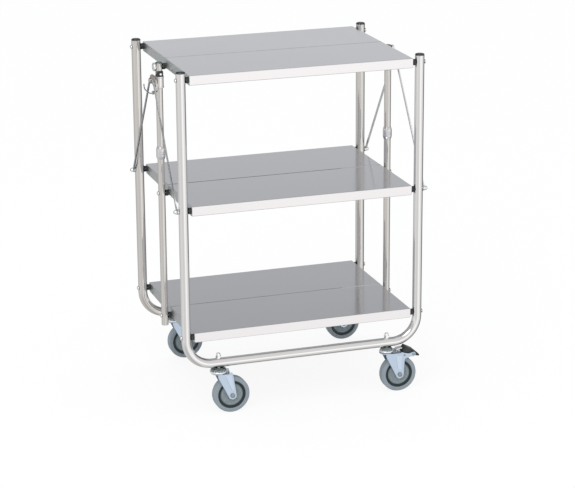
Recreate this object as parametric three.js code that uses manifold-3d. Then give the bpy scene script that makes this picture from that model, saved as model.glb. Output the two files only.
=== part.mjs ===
// Folding serving trolley with three shelves. Two bent tube frames stand on casters, and each shelf
// is a front and a rear pan that hang between a frame and the two centre posts. Lifting the centre
// posts tips the pans up and draws the two frames together.
// Millimetres. +X runs along the trolley, +Y to its rear, +Z up. The origin is on the floor at its middle.
import * as THREE from "three";
import { mergeVertices } from "three/addons/utils/BufferGeometryUtils.js";
import Module from "manifold-3d";

const wasm = await Module();
wasm.setup();

// Driving sizes
const postSpacing = 656; // between the axes of a frame's two uprights
const frameSpacing = 450; // between the front and the rear frame
const shelfLength = 614;
const shelfPitch = 348; // height from one shelf to the next
const bottomShelfHeight = 234; // top of the bottom shelf above the floor
const railHeight = 142; // axis of the rail that joins two uprights
const uprightRise = 6; // how far an upright's tube passes the top shelf
const casterSpacing = 480;
const foldAngle = 70; // how far the pans tip up, in degrees
const seat = 0.3; // gap where one piece rests on another
const runningFit = 0.4; // radial gap round a shaft or a sleeve
const overrun = 5; // how far a cut passes a face
const foldSteps = 1; // curve segments in a folded edge
const roundSteps = 3; // curve segments in a rounded end

const frameTube = { radius: 12.7, wall: 1.2, bendRadius: 70, sides: 12, bendSteps: 4 };
const endCap = {
  rise: 5.2, shoulder: 2, edgeHeight: 3.9, edgeShare: 0.88, crownShare: 0.6, spigot: 14, spigotFit: 0.3, sides: 12,
};
const centreTube = {
  radius: 9.5, wall: 1.2, below: 27, above: 9, plug: 3, crown: 4.2, crownShare: 0.72, sides: 12,
};
const pan = {
  sheet: 1.2, lip: 26, lead: 8, bend: 2.6, hem: 11, seamGap: 1.2,
  outerDrop: 12, innerDrop: 22, innerLipSpare: 1, earRadius: 7, earSides: 12, earTab: 30, earSheet: 3, tabSpare: 8,
  padShare: 0.3, notchLength: 13, notchSpare: 2,
};
const pivot = {
  shank: 3.2, headRadius: 6, headHeight: 3.4, nutRadius: 5.6, nutHeight: 4.4,
  bushRadius: 8.4, washer: 2.3, washerRadius: 7, sides: 8, crownShare: 0.62,
};
const knob = { radius: 11.4, height: 6.6, edge: 1.6 };
const stay = { eye: 6.5, width: 8, thickness: 3, pinOffset: 20, pinDrop: 15, rivetRadius: 5, rivetHeight: 2 };
const slider = {
  radius: 13, length: 32, drop: 25, plate: 3.4, plateRise: 19.4, plateSpare: 9, opening: 5,
  armWidth: 16, armDepth: 10, sides: 12,
};
const collar = {
  radius: 12.4, length: 34, edge: 1.6, edgeHeight: 6, screwRadius: 3.6, screwHeight: 2.8, stopGap: 1,
};
const latch = {
  width: 18, height: 12.4, depth: 6, gap: 1.5, buttonRadius: 3.4, buttonOut: 4.5, buttonIn: 4, rimShare: 0.7,
};
const hook = {
  wire: 1.5, eyeRadius: 5, eyeThickness: 3, studRadius: 2.5, studHead: 1.6, along: 26,
  drop: 10.5, reach: 98, tip: 3, sides: 6, steps: 8, alongShares: [0.3, 0.65, 0.93], sagShares: [0.8, 1, 0.8],
};
const wheel = {
  radius: 50, width: 25, tread: 11.5, shoulder: 3.6, rimWidth: 22, rimDepth: 5.2, webWidth: 13,
  hubRadius: 9.5, draft: 0.9, sides: 16,
};
const caster = {
  trail: 33, axle: 4, axleHead: 6.5, axleHeadHeight: 3, legGap: 3.6, legSheet: 3, hubEnd: 11.5,
  crownRadius: 20, crownSheet: 3, crownRear: 25, legFront: 7, legRear: 36, legTop: 33, waist: 10,
  raceRadius: 24, brakedRaceRadius: 20, raceHeight: 12, neckRadius: 13, kingpin: 6.5, kingpinHead: 9,
  kingpinDepth: 4, kingpinFit: 0.15, stem: 5, neckHeight: 2, nutRadius: 7.4, nutHeight: 14.6, sides: 10,
};
const brake = {
  reach: 46, drop: 9.7, pin: 2.6, pinOut: 2, hub: 5, sideGap: 1, heel: 12, topReach: 7, top: 22, bowReach: 26,
  bow: 12, tip: 46, tipDrop: 6, toeReach: 43.5, toeDrop: 8.5, belly: 22, bellyDrop: 3.4,
};
const brakedLeg = {
  rear: 47, waist: 21, farReach: 72.6, lug: 6.4, flare: 9, dip: 3.4, rivet: 3.6, rivetOut: 2,
  crownRear: 38,
};
const brakeHousing = {
  webAt: 26.5, sheet: 2.2, halfWidth: 9, height: 9.4, reach: 43, barrelAt: 33, barrel: 3.2, barrelReach: 12,
  barrelSink: 0.4,
};

// Places that follow from the sizes
const halfPosts = postSpacing / 2;
const halfFrames = frameSpacing / 2;
const halfShelf = shelfLength / 2;
const shelfHeights = { bottom: bottomShelfHeight, middle: bottomShelfHeight + shelfPitch,
  top: bottomShelfHeight + 2 * shelfPitch };
const uprightTop = shelfHeights.top + uprightRise;
const pivotDrop = pan.innerDrop - pan.outerDrop;
const linkLength = Math.hypot(halfFrames, pivotDrop);
const linkRest = -Math.atan2(pivotDrop, halfFrames);
const linkFolded = linkRest + THREE.MathUtils.degToRad(foldAngle);
const postInnerFace = halfPosts - frameTube.radius;
const centrePostX = postInnerFace + centreTube.radius;
const stayInner = halfPosts + frameTube.radius + seat + pivot.washer + seat;
const stayOuter = stayInner + stay.thickness;
const hookInner = stayOuter + stay.rivetHeight + seat;
const outerReach = hookInner + hook.eyeThickness + seat + hook.studHead;
const sliderTop = shelfHeights.top - pan.innerDrop - slider.drop;
const stayPin = sliderTop - stay.pinDrop;
const stayFoot = shelfHeights.middle - pan.outerDrop;
const stayRise = stayPin - stayFoot;
const stayRun = halfFrames - stay.pinOffset;
const stayLength = Math.hypot(stayRun, stayRise);
const foldedRun = linkLength * Math.cos(linkFolded) - stay.pinOffset;
const foldedRise = Math.sqrt(stayLength ** 2 - foldedRun ** 2);
const centreLift = linkLength * (Math.sin(linkFolded) - Math.sin(linkRest));
const slideTravel = centreLift - (foldedRise - stayRise);
const collarTop = sliderTop - slider.length - slideTravel - collar.stopGap;
const crownTop = railHeight - frameTube.radius - seat - caster.neckHeight - caster.raceHeight - seat;
const brakePin = crownTop - brake.drop;
const legIn = wheel.width / 2 + caster.legGap;
const legOut = legIn + caster.legSheet;

// Materials
const polishedSteel = new THREE.MeshStandardMaterial({ color: 0xd4d2cf, metalness: 1, roughness: 0.18 });
const sheetSteel = new THREE.MeshStandardMaterial({ color: 0xc2c1c2, metalness: 1, roughness: 0.32 });
const zincSteel = new THREE.MeshStandardMaterial({ color: 0xb9c3cf, metalness: 1, roughness: 0.35 });
const blackPlastic = new THREE.MeshStandardMaterial({ color: 0x1d2321, metalness: 0, roughness: 0.5 });
const tyreRubber = new THREE.MeshStandardMaterial({ color: 0x9a9aa3, metalness: 0, roughness: 0.7 });
const wheelPlastic = new THREE.MeshStandardMaterial({ color: 0x7f8a8a, metalness: 0, roughness: 0.55 });

// Turns a geometry into a solid that can be cut and joined
function solidOf(geometry) {
  const bare = geometry.clone();
  bare.deleteAttribute("normal");
  bare.deleteAttribute("uv");
  const merged = mergeVertices(bare, 1e-4);
  const index = merged.index ? merged.index.array : Uint32Array.from(merged.attributes.position.array.keys());
  return new wasm.Manifold(new wasm.Mesh({
    numProp: 3,
    vertProperties: Float32Array.from(merged.attributes.position.array),
    triVerts: Uint32Array.from(index),
  }));
}

function geometryOf(solid) {
  const mesh = solid.getMesh();
  const geometry = new THREE.BufferGeometry();
  geometry.setAttribute("position", new THREE.BufferAttribute(Float32Array.from(mesh.vertProperties), 3));
  geometry.setIndex(new THREE.BufferAttribute(Uint32Array.from(mesh.triVerts), 1));
  geometry.computeVertexNormals();
  return geometry;
}

const joined = (...geometries) => geometryOf(geometries.map(solidOf).reduce((sum, part) => sum.add(part)));
const cut = (body, ...tools) => geometryOf(
  tools.map(solidOf).reduce((rest, tool) => rest.subtract(tool), solidOf(body)),
);

// A profile of [radius, height] pairs turned about Z
function turned(profile, sides) {
  const points = profile.map(([radius, height]) => new THREE.Vector2(radius, height));
  return new THREE.LatheGeometry(points, sides).rotateX(Math.PI / 2);
}

// The same about X, with the heights counted along +X
const turnedAlongX = (profile, sides) => turned(profile, sides).rotateY(Math.PI / 2);
// The same about Y, with the heights counted along +Y
const turnedAlongY = (profile, sides) => turned(profile, sides).rotateX(-Math.PI / 2);

const rod = (radius, low, high) => [[0, low], [radius, low], [radius, high], [0, high]];

// A shape drawn in Y and Z, given thickness along X from low to high
function slabAcrossX(shape, low, high, steps = roundSteps) {
  return new THREE.ExtrudeGeometry(shape, { depth: high - low, bevelEnabled: false, curveSegments: steps })
    .rotateY(Math.PI / 2).rotateX(Math.PI / 2).translate(low, 0, 0);
}

// A shape drawn in X and Z, given thickness along Y from low to high
function slabAcrossY(shape, low, high, steps = roundSteps) {
  return new THREE.ExtrudeGeometry(shape, { depth: high - low, bevelEnabled: false, curveSegments: steps })
    .rotateX(Math.PI / 2).translate(0, high, 0);
}

// A shape drawn in X and Y, given thickness along Z from low to high
function slabAcrossZ(shape, low, high, steps = roundSteps) {
  return new THREE.ExtrudeGeometry(shape, { depth: high - low, bevelEnabled: false, curveSegments: steps })
    .translate(0, 0, low);
}

function box(low, high) {
  const size = high.map((value, axis) => value - low[axis]);
  const middle = high.map((value, axis) => (value + low[axis]) / 2);
  return new THREE.BoxGeometry(...size).translate(...middle);
}

function ringShape(radius, bore, sides) {
  const shape = new THREE.Shape();
  const hole = new THREE.Path();
  for (let i = 0; i < sides; i += 1) {
    const angle = (2 * Math.PI * i) / sides;
    shape[i ? "lineTo" : "moveTo"](radius * Math.cos(angle), radius * Math.sin(angle));
    hole[i ? "lineTo" : "moveTo"](bore * Math.cos(angle), bore * Math.sin(angle));
  }
  if (bore > 0) shape.holes.push(hole);
  return shape;
}

// A path through stations, each a point with its direction, that keeps one section at every station
class StationPath extends THREE.Curve {
  constructor(stations) {
    super();
    this.stations = stations;
  }

  getPointAt(share, target = new THREE.Vector3()) {
    return target.copy(this.stations[Math.round(share * (this.stations.length - 1))].point);
  }

  getTangentAt(share, target = new THREE.Vector3()) {
    return target.copy(this.stations[Math.round(share * (this.stations.length - 1))].direction);
  }
}

function sweep(shape, stations) {
  return new THREE.ExtrudeGeometry(shape, {
    steps: stations.length - 1, extrudePath: new StationPath(stations), bevelEnabled: false,
  });
}

// Frames

// Stations of a U in X and Z: down the left upright, along the rail and up the right one
function frameStations() {
  const inset = halfPosts - frameTube.bendRadius;
  const bendHeight = railHeight + frameTube.bendRadius;
  const stations = [{ point: new THREE.Vector3(-halfPosts, 0, uprightTop), direction: new THREE.Vector3(0, 0, -1) }];
  for (const side of [-1, 1]) {
    for (let i = 0; i <= frameTube.bendSteps; i += 1) {
      const share = i / frameTube.bendSteps;
      const angle = (side < 0 ? Math.PI + (share * Math.PI) / 2 : -Math.PI / 2 + (share * Math.PI) / 2);
      stations.push({
        point: new THREE.Vector3(side * inset + frameTube.bendRadius * Math.cos(angle), 0,
          bendHeight + frameTube.bendRadius * Math.sin(angle)),
        direction: new THREE.Vector3(-Math.sin(angle), 0, Math.cos(angle)),
      });
    }
  }
  stations.push({ point: new THREE.Vector3(halfPosts, 0, uprightTop), direction: new THREE.Vector3(0, 0, 1) });
  return stations;
}

function frameTubeGeometry() {
  const section = ringShape(frameTube.radius, frameTube.radius - frameTube.wall, frameTube.sides);
  const holes = [];
  for (const side of [-1, 1]) {
    for (const height of Object.values(shelfHeights)) {
      const bolt = turnedAlongX(rod(pivot.shank + seat, -frameTube.radius - overrun, frameTube.radius + overrun),
        pivot.sides);
      holes.push(bolt.translate(side * halfPosts, 0, height - pan.outerDrop));
    }
    const stem = turned(rod(caster.stem + seat, -frameTube.radius - overrun, frameTube.radius + overrun),
      caster.sides);
    holes.push(stem.translate((side * casterSpacing) / 2, 0, railHeight));
  }
  return cut(sweep(section, frameStations()), ...holes);
}

// A domed plug whose spigot sits in the end of an upright
function endCapGeometry() {
  const spigot = frameTube.radius - frameTube.wall - endCap.spigotFit;
  return turned([
    [0, -endCap.spigot], [spigot, -endCap.spigot], [spigot, seat], [frameTube.radius, seat],
    [frameTube.radius, endCap.shoulder], [frameTube.radius * endCap.edgeShare, endCap.edgeHeight],
    [frameTube.radius * endCap.crownShare, endCap.rise], [0, endCap.rise],
  ], endCap.sides);
}

// Pivots. A bolt lies along X with its head outwards at +X, and carries the bush between post and pan

// The grip is what the bolt holds between bush and nut
function pivotBoltGeometry(grip, washers, head) {
  const flange = halfShelf + seat;
  const inner = halfShelf - grip - seat;
  const bushEnd = postInnerFace - seat;
  return turnedAlongX([
    [0, inner - pivot.nutHeight], [pivot.nutRadius, inner - pivot.nutHeight], [pivot.nutRadius, inner],
    [pivot.shank, inner], [pivot.shank, flange], [pivot.bushRadius, flange],
    [pivot.bushRadius, bushEnd], [pivot.shank, bushEnd], ...washers, ...head,
  ], pivot.sides);
}

// A domed head from its seat to its crown
function domedHead(start, end) {
  return [
    [pivot.shank, start], [pivot.headRadius, start], [pivot.headRadius, (start + end) / 2],
    [pivot.headRadius * pivot.crownShare, end], [0, end],
  ];
}

function knobHead(start) {
  const end = start + knob.height;
  return [
    [pivot.shank, start], [knob.radius - knob.edge, start], [knob.radius, start + knob.edge],
    [knob.radius, end - knob.edge], [knob.radius - knob.edge, end], [0, end],
  ];
}

// On the middle shelf the frame's bolts also carry the stays, clear of the upright on a washer
function frameBoltGeometry(level) {
  const start = halfPosts + frameTube.radius + seat;
  if (level !== "middle") return pivotBoltGeometry(pan.sheet, [], domedHead(start, start + pivot.headHeight));
  const washer = [[pivot.shank, start], [pivot.washerRadius, start], [pivot.washerRadius, start + pivot.washer],
    [pivot.shank, start + pivot.washer]];
  return pivotBoltGeometry(pan.sheet, washer, domedHead(stayOuter + seat, outerReach));
}

function centreBoltGeometry(level) {
  const start = centrePostX + centreTube.radius + seat;
  const head = level === "top" ? knobHead(start) : domedHead(start, start + pivot.headHeight);
  return pivotBoltGeometry(pan.sheet + seat + pan.earSheet, [], head);
}

// Shelf pans. A pan's own origin is on its outer pivot axis, and it reaches to the centre pin at +Y

// The folded sheet in Y and Z: hem, outer lip, top and inner lip
function panSection() {
  const { sheet, bend } = pan;
  const outer = -pan.lead;
  const inner = halfFrames - pan.seamGap / 2;
  const top = pan.outerDrop;
  const bottom = top - pan.lip;
  const innerBottom = top - pan.innerDrop + pan.innerLipSpare;
  const quarter = Math.PI / 2;
  const shape = new THREE.Shape();
  shape.moveTo(outer + pan.hem, bottom);
  shape.lineTo(outer + bend, bottom);
  shape.absarc(outer + bend, bottom + bend, bend, 3 * quarter, 2 * quarter, true);
  shape.lineTo(outer, top - bend);
  shape.absarc(outer + bend, top - bend, bend, 2 * quarter, quarter, true);
  shape.lineTo(inner - bend, top);
  shape.absarc(inner - bend, top - bend, bend, quarter, 0, true);
  shape.lineTo(inner, innerBottom);
  shape.lineTo(inner - sheet, innerBottom);
  shape.lineTo(inner - sheet, top - sheet);
  shape.lineTo(outer + sheet, top - sheet);
  shape.lineTo(outer + sheet, bottom + sheet);
  shape.lineTo(outer + pan.hem, bottom + sheet);
  shape.closePath();
  return shape;
}

// An end flange in Y and Z, cut back so that the two pans of a shelf can fold up together
function flangeShape() {
  const outer = -pan.lead;
  const inner = halfFrames - pan.seamGap / 2;
  const top = pan.outerDrop;
  const bottom = top - pan.lip;
  const pinZ = -pivotDrop;
  const slope = Math.PI / 2 - THREE.MathUtils.degToRad(foldAngle);
  const quarter = Math.PI / 2;
  const lowerEnd = halfFrames - (pinZ - bottom) / Math.tan(slope);
  const shape = new THREE.Shape();
  shape.moveTo(outer + pan.bend, bottom);
  shape.absarc(outer + pan.bend, bottom + pan.bend, pan.bend, 3 * quarter, 2 * quarter, true);
  shape.lineTo(outer, top - pan.bend);
  shape.absarc(outer + pan.bend, top - pan.bend, pan.bend, 2 * quarter, quarter, true);
  shape.lineTo(inner - pan.bend, top);
  shape.absarc(inner - pan.bend, top - pan.bend, pan.bend, quarter, 0, true);
  shape.lineTo(inner, pinZ);
  shape.lineTo(lowerEnd, bottom);
  shape.closePath();
  return shape;
}

// The tab that carries the rear pan's ear on the inside of its flange
function earTabShape() {
  const pinZ = -pivotDrop;
  const slope = Math.PI / 2 - THREE.MathUtils.degToRad(foldAngle);
  const low = pinZ - pan.earRadius * Math.sin(slope);
  const shape = new THREE.Shape();
  shape.moveTo(halfFrames, pinZ + pan.earRadius);
  shape.absarc(halfFrames, pinZ, pan.earRadius, Math.PI / 2, slope - Math.PI, true);
  shape.lineTo(halfFrames - pan.earTab, low);
  shape.lineTo(halfFrames - pan.earTab, pinZ + pan.earRadius);
  shape.closePath();
  return shape;
}

function panGeometry(earInside) {
  const pinZ = -pivotDrop;
  const atPin = [0, halfFrames, pinZ];
  const sheetParts = [slabAcrossX(panSection(), -halfShelf, halfShelf, foldSteps)];
  const tabs = [];
  const notches = [];
  const holes = [];
  const reach = pan.sheet + seat + pan.earSheet;
  for (const side of [-1, 1]) {
    // Two depths below the end face, as a low and a high X
    const depths = (near, far) => [side * (halfShelf - near), side * (halfShelf - far)].sort((a, b) => a - b);
    sheetParts.push(slabAcrossX(flangeShape(), ...depths(0, pan.sheet), foldSteps));
    const [notchLow, notchHigh] = depths(pan.sheet, pan.sheet + pan.notchLength);
    notches.push(box([notchLow, halfFrames - pan.notchSpare - pan.sheet, pinZ],
      [notchHigh, halfFrames, pinZ + pan.earRadius + pan.notchSpare]));
    const bore = () => turnedAlongX(rod(pivot.shank + seat, ...depths(-overrun, reach + overrun)), pivot.sides);
    holes.push(bore(), bore().translate(...atPin));
    if (earInside) {
      notches.push(turnedAlongX(rod(pan.earRadius + seat + pan.innerLipSpare,
        ...depths(-overrun, pan.sheet + seat)), pan.earSides).translate(...atPin));
      tabs.push(slabAcrossX(earTabShape(), ...depths(pan.sheet + seat, reach)));
      const [padLow, padHigh] = depths(pan.sheet / 2, pan.sheet + seat * 2);
      tabs.push(box([padLow, halfFrames - pan.earTab, pinZ - pan.earRadius * pan.padShare],
        [padHigh, halfFrames - pan.earRadius - pan.tabSpare, pinZ + pan.earRadius * pan.padShare]));
    } else {
      tabs.push(turnedAlongX(rod(pan.earRadius, ...depths(0, pan.sheet)), pan.earSides).translate(...atPin));
    }
  }
  const sheet = cut(joined(...sheetParts), ...notches);
  return cut(joined(sheet, ...tabs), ...holes);
}

// Centre posts, sliders and stays. Each is drawn for the right-hand end, outwards at +X

function centrePostGeometry(withLatch) {
  const top = shelfHeights.top - pan.innerDrop + centreTube.above;
  const bottom = shelfHeights.bottom - pan.innerDrop - centreTube.below;
  const { radius, wall, plug, crown } = centreTube;
  const tube = turned([
    [0, top - plug], [radius - wall, top - plug], [radius - wall, bottom], [radius, bottom], [radius, top],
    [radius * centreTube.crownShare, top + crown], [0, top + crown],
  ], centreTube.sides);
  const holes = Object.values(shelfHeights).map((height) => turnedAlongX(
    rod(pivot.shank + seat, -radius - overrun, radius + overrun), pivot.sides)
    .translate(0, 0, height - pan.innerDrop));
  if (!withLatch) return cut(tube, ...holes);
  const low = sliderTop + latch.gap;
  const housing = box([-latch.width / 2, radius - wall, low],
    [latch.width / 2, radius + latch.depth, low + latch.height]);
  const bore = turnedAlongY(rod(latch.buttonRadius + seat, 0, radius + latch.depth + overrun), pivot.sides)
    .translate(0, 0, low + latch.height / 2);
  return cut(joined(tube, housing), bore, ...holes);
}

function buttonGeometry() {
  const face = centreTube.radius + latch.depth;
  const rim = latch.buttonRadius * latch.rimShare;
  return turnedAlongY([
    [0, face - latch.buttonIn], [latch.buttonRadius, face - latch.buttonIn],
    [latch.buttonRadius, face + latch.buttonOut - seat * 2], [rim + seat, face + latch.buttonOut],
    [rim, face + latch.buttonOut - seat], [0, face + latch.buttonOut - seat],
  ], centreTube.sides);
}

// The sleeve that runs on the centre post, with the arched plate that the two stays hang from
function sliderGeometry() {
  const bore = centreTube.radius + runningFit;
  const low = sliderTop - slider.length;
  const sleeve = turned([[bore, low], [slider.radius, low], [slider.radius, sliderTop], [bore, sliderTop],
    [bore, low]], slider.sides);
  const plateOuter = stayInner - seat - centrePostX;
  const half = stay.pinOffset + slider.plateSpare;
  const shape = new THREE.Shape();
  shape.moveTo(half, stayPin);
  shape.absarc(stay.pinOffset, stayPin, slider.plateSpare, 0, -Math.PI, true);
  shape.quadraticCurveTo(stay.pinOffset - slider.plateSpare, stayPin + slider.opening,
    0, stayPin + slider.opening);
  shape.quadraticCurveTo(slider.plateSpare - stay.pinOffset, stayPin + slider.opening,
    slider.plateSpare - stay.pinOffset, stayPin);
  shape.absarc(-stay.pinOffset, stayPin, slider.plateSpare, 0, -Math.PI, true);
  shape.quadraticCurveTo(-half, stayPin + slider.plateRise, 0, stayPin + slider.plateRise);
  shape.quadraticCurveTo(half, stayPin + slider.plateRise, half, stayPin);
  const plate = slabAcrossX(shape, plateOuter - slider.plate, plateOuter);
  const arm = box([slider.radius - slider.plate / 2, -slider.armWidth / 2, sliderTop - slider.armDepth],
    [plateOuter - slider.plate / 2, slider.armWidth / 2, sliderTop - seat]);
  const trim = turned(rod(slider.radius - runningFit, low, sliderTop), slider.sides);
  return joined(sleeve, cut(joined(plate, arm), trim));
}

// A stop collar pinned to the centre post, with a screw head front and rear
function collarGeometry() {
  const bore = centreTube.radius + seat;
  const { radius, length, edge, edgeHeight } = collar;
  const ring = turned([
    [bore, 0], [radius - edge, 0], [radius, edgeHeight], [radius, length - edgeHeight], [radius - edge, length],
    [bore, length], [bore, 0],
  ], centreTube.sides);
  const screws = turnedAlongY(rod(collar.screwRadius, -radius - collar.screwHeight, radius + collar.screwHeight),
    pivot.sides).translate(0, 0, length / 2);
  const clear = turned(rod(bore, -overrun, length + overrun), centreTube.sides);
  return joined(ring, cut(screws, clear)).translate(0, 0, collarTop - length);
}

// A flat bar from its eye on the frame's pivot bolt, up along +Z to the riveted eye at the slider
function stayGeometry(withStud) {
  const neck = Math.asin(stay.width / 2 / stay.eye);
  const quarter = Math.PI / 2;
  const shape = new THREE.Shape();
  shape.absarc(0, stayLength, stay.eye, neck - quarter, 3 * quarter - neck, false);
  shape.absarc(0, 0, stay.eye, quarter + neck, 5 * quarter - neck, false);
  shape.closePath();
  const eye = turnedAlongX(rod(pivot.shank + seat, stayInner - overrun, stayOuter + overrun), pivot.sides);
  const rivet = turnedAlongX([
    [0, stayInner + seat], [stay.rivetRadius, stayInner + seat], [stay.rivetRadius, stayOuter + stay.rivetHeight / 2],
    [stay.rivetRadius * pivot.crownShare, stayOuter + stay.rivetHeight], [0, stayOuter + stay.rivetHeight],
  ], pivot.sides).translate(0, 0, stayLength);
  const bar = joined(cut(slabAcrossX(shape, stayInner, stayOuter, 2 * roundSteps), eye), rivet);
  if (!withStud) return bar;
  const headLow = outerReach - hook.studHead;
  const stud = turnedAlongX([
    [0, stayInner + seat], [hook.studRadius, stayInner + seat], [hook.studRadius, headLow],
    [hook.eyeRadius, headLow], [hook.eyeRadius, outerReach], [0, outerReach],
  ], pivot.sides).translate(0, 0, stayLength - hook.along);
  return joined(bar, stud);
}

// The bent wire that lies across both stays, from its eye on the front stay's stud towards -Y
function hookGeometry() {
  const high = hookInner + hook.eyeThickness;
  const middle = hookInner + hook.eyeThickness / 2;
  const bore = hook.studRadius + seat;
  const eye = turnedAlongX([
    [bore, hookInner], [hook.eyeRadius, hookInner], [hook.eyeRadius, high], [bore, high], [bore, hookInner],
  ], pivot.sides);
  const sag = hook.alongShares.map((share, i) => new THREE.Vector3(
    middle, -hook.reach * share, -hook.drop * hook.sagShares[i]));
  const curve = new THREE.CatmullRomCurve3([
    new THREE.Vector3(middle, -hook.eyeRadius + hook.wire / 2, 0),
    ...sag,
    new THREE.Vector3(middle, -hook.reach, hook.tip),
  ]);
  const wire = new THREE.ExtrudeGeometry(ringShape(hook.wire, 0, hook.sides), {
    steps: hook.steps, extrudePath: curve, bevelEnabled: false,
  });
  return joined(eye, wire);
}

// Casters. A caster's own origin is on its swivel axis at the floor, and it trails towards +X

// Ball race, stem through the rail and domed nut on top
function casterHeadGeometry(raceRadius) {
  const plateLow = crownTop - caster.crownSheet;
  const raceLow = crownTop + seat;
  const raceHigh = raceLow + caster.raceHeight;
  const railLow = railHeight - frameTube.radius;
  const nutLow = railHeight + frameTube.radius + seat;
  const nutTop = nutLow + caster.nutHeight;
  return turned([
    [0, plateLow - seat - caster.kingpinDepth], [caster.kingpinHead, plateLow - seat - caster.kingpinDepth],
    [caster.kingpinHead, plateLow - seat], [caster.kingpin, plateLow - seat], [caster.kingpin, raceLow],
    [raceRadius, raceLow], [raceRadius, raceLow + caster.raceHeight / 2],
    [caster.neckRadius, raceHigh], [caster.neckRadius, railLow - seat], [caster.stem, railLow - seat],
    [caster.stem, nutLow], [caster.nutRadius, nutLow], [caster.nutRadius, nutTop - caster.nutRadius / 2],
    [caster.nutRadius / 2, nutTop], [0, nutTop],
  ], caster.sides);
}

// Outline of one fork leg in X and Z. A braked one has an arm that carries the pedal's pin and a rivet
function legShape(braked) {
  const { trail, hubEnd, legFront, legRear, waist } = caster;
  const hubTurn = Math.PI / 6;
  const shape = new THREE.Shape();
  shape.moveTo(-legFront, crownTop);
  shape.lineTo(-legFront, crownTop - waist);
  shape.lineTo(trail - hubEnd * Math.cos(hubTurn), wheel.radius - hubEnd * Math.sin(hubTurn));
  shape.absarc(trail, wheel.radius, hubEnd, Math.PI + hubTurn, 2 * Math.PI, false);
  if (braked) {
    shape.lineTo(brakedLeg.rear, crownTop - brakedLeg.waist);
    shape.lineTo(brakedLeg.farReach - brakedLeg.flare, brakePin - brakedLeg.lug);
    shape.absarc(brakedLeg.farReach, brakePin, brakedLeg.lug, -Math.PI / 2, Math.PI / 2, false);
    shape.lineTo((brakedLeg.farReach + brake.reach) / 2, brakePin + brakedLeg.dip);
    shape.lineTo(brake.reach, brakePin + brakedLeg.lug);
    shape.lineTo(brakedLeg.crownRear, crownTop);
  } else {
    shape.lineTo(legRear, crownTop - waist);
    shape.lineTo(caster.legTop, crownTop);
  }
  shape.closePath();
  return shape;
}

// A bent tongue behind the braked caster's race, with the spring's barrel under it
function brakeHousingParts() {
  const { webAt, sheet, halfWidth, height, reach, barrelAt, barrel, barrelReach, barrelSink } = brakeHousing;
  const top = crownTop + height;
  return [
    box([webAt, -halfWidth, crownTop - caster.crownSheet / 2], [webAt + sheet, halfWidth, top]),
    box([webAt, -halfWidth, top - sheet], [reach, halfWidth, top]),
    turnedAlongY(rod(barrel, -barrelReach, barrelReach), pivot.sides)
      .translate(barrelAt, 0, crownTop + barrel * Math.cos(Math.PI / pivot.sides) - barrelSink),
  ];
}

// The heads of the rivets at the far end of a braked fork's two arms
function armRivets() {
  return [-1, 1].map((side) => turnedAlongY(
    rod(brakedLeg.rivet, ...[side * (legIn + seat), side * (legOut + brakedLeg.rivetOut)].sort((a, b) => a - b)),
    pivot.sides).translate(brakedLeg.farReach, 0, brakePin));
}

function forkGeometry(braked) {
  const crownTurn = Math.asin(legOut / caster.crownRadius);
  const crownRear = braked ? brakedLeg.crownRear : caster.crownRear;
  const crown = new THREE.Shape();
  crown.absarc(0, 0, caster.crownRadius, crownTurn, 2 * Math.PI - crownTurn, false);
  crown.lineTo(crownRear, -legOut);
  crown.lineTo(crownRear, legOut);
  crown.closePath();
  const plate = slabAcrossZ(crown, crownTop - caster.crownSheet, crownTop, caster.sides / 2);
  const legs = [-1, 1].map((side) => slabAcrossY(legShape(braked), ...[side * legIn, side * legOut]
    .sort((a, b) => a - b)));
  const reach = legOut + caster.axleHeadHeight;
  const axle = turnedAlongY([
    [0, -reach], [caster.axleHead, -reach], [caster.axleHead, -legOut + seat], [caster.axle, -legOut + seat],
    [caster.axle, legOut - seat], [caster.axleHead, legOut - seat], [caster.axleHead, reach], [0, reach],
  ], pivot.sides).translate(caster.trail, 0, wheel.radius);
  const kingpinBore = (caster.kingpin + caster.kingpinFit) / Math.cos(Math.PI / caster.sides);
  const kingpinHole = turned(rod(kingpinBore, crownTop - caster.crownSheet - overrun, crownTop + overrun),
    caster.sides);
  const parts = [plate, ...legs, axle];
  if (braked) {
    const pin = turnedAlongY(rod(brake.pin, -legOut - brake.pinOut, legOut + brake.pinOut), pivot.sides)
      .translate(brake.reach, 0, brakePin);
    parts.push(pin, ...brakeHousingParts(), ...armRivets());
  }
  return cut(joined(...parts), kingpinHole);
}

// A disc wheel round the axle, inside the tyre
function wheelCoreGeometry() {
  const rim = wheel.radius - wheel.tread - seat;
  const rimIn = rim - wheel.rimDepth;
  const halfHub = legIn - seat * 2;
  const halfRim = wheel.rimWidth / 2;
  const halfWeb = wheel.webWidth / 2;
  const bore = caster.axle + runningFit;
  const face = [
    [rimIn, halfRim], [rimIn - wheel.draft, halfWeb],
    [wheel.hubRadius + wheel.draft, halfWeb], [wheel.hubRadius, halfHub],
  ];
  const near = face.map(([radius, out]) => [radius, -out]).reverse();
  return turnedAlongY([
    [bore, -halfHub], ...near, [rim, -halfRim], [rim, halfRim], ...face, [bore, halfHub], [bore, -halfHub],
  ], wheel.sides).rotateY(Math.PI / wheel.sides);
}

// The tread's radius is measured on its flats, and one flat lies on the floor
function tyreGeometry() {
  const bore = wheel.radius - wheel.tread;
  const half = wheel.width / 2;
  const { shoulder } = wheel;
  const radius = wheel.radius / Math.cos(Math.PI / wheel.sides);
  return turnedAlongY([
    [bore, -half], [radius - shoulder, -half], [radius, -half + shoulder], [radius, half - shoulder],
    [radius - shoulder, half], [bore, half], [bore, -half],
  ], wheel.sides).rotateY(Math.PI / wheel.sides);
}

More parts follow.
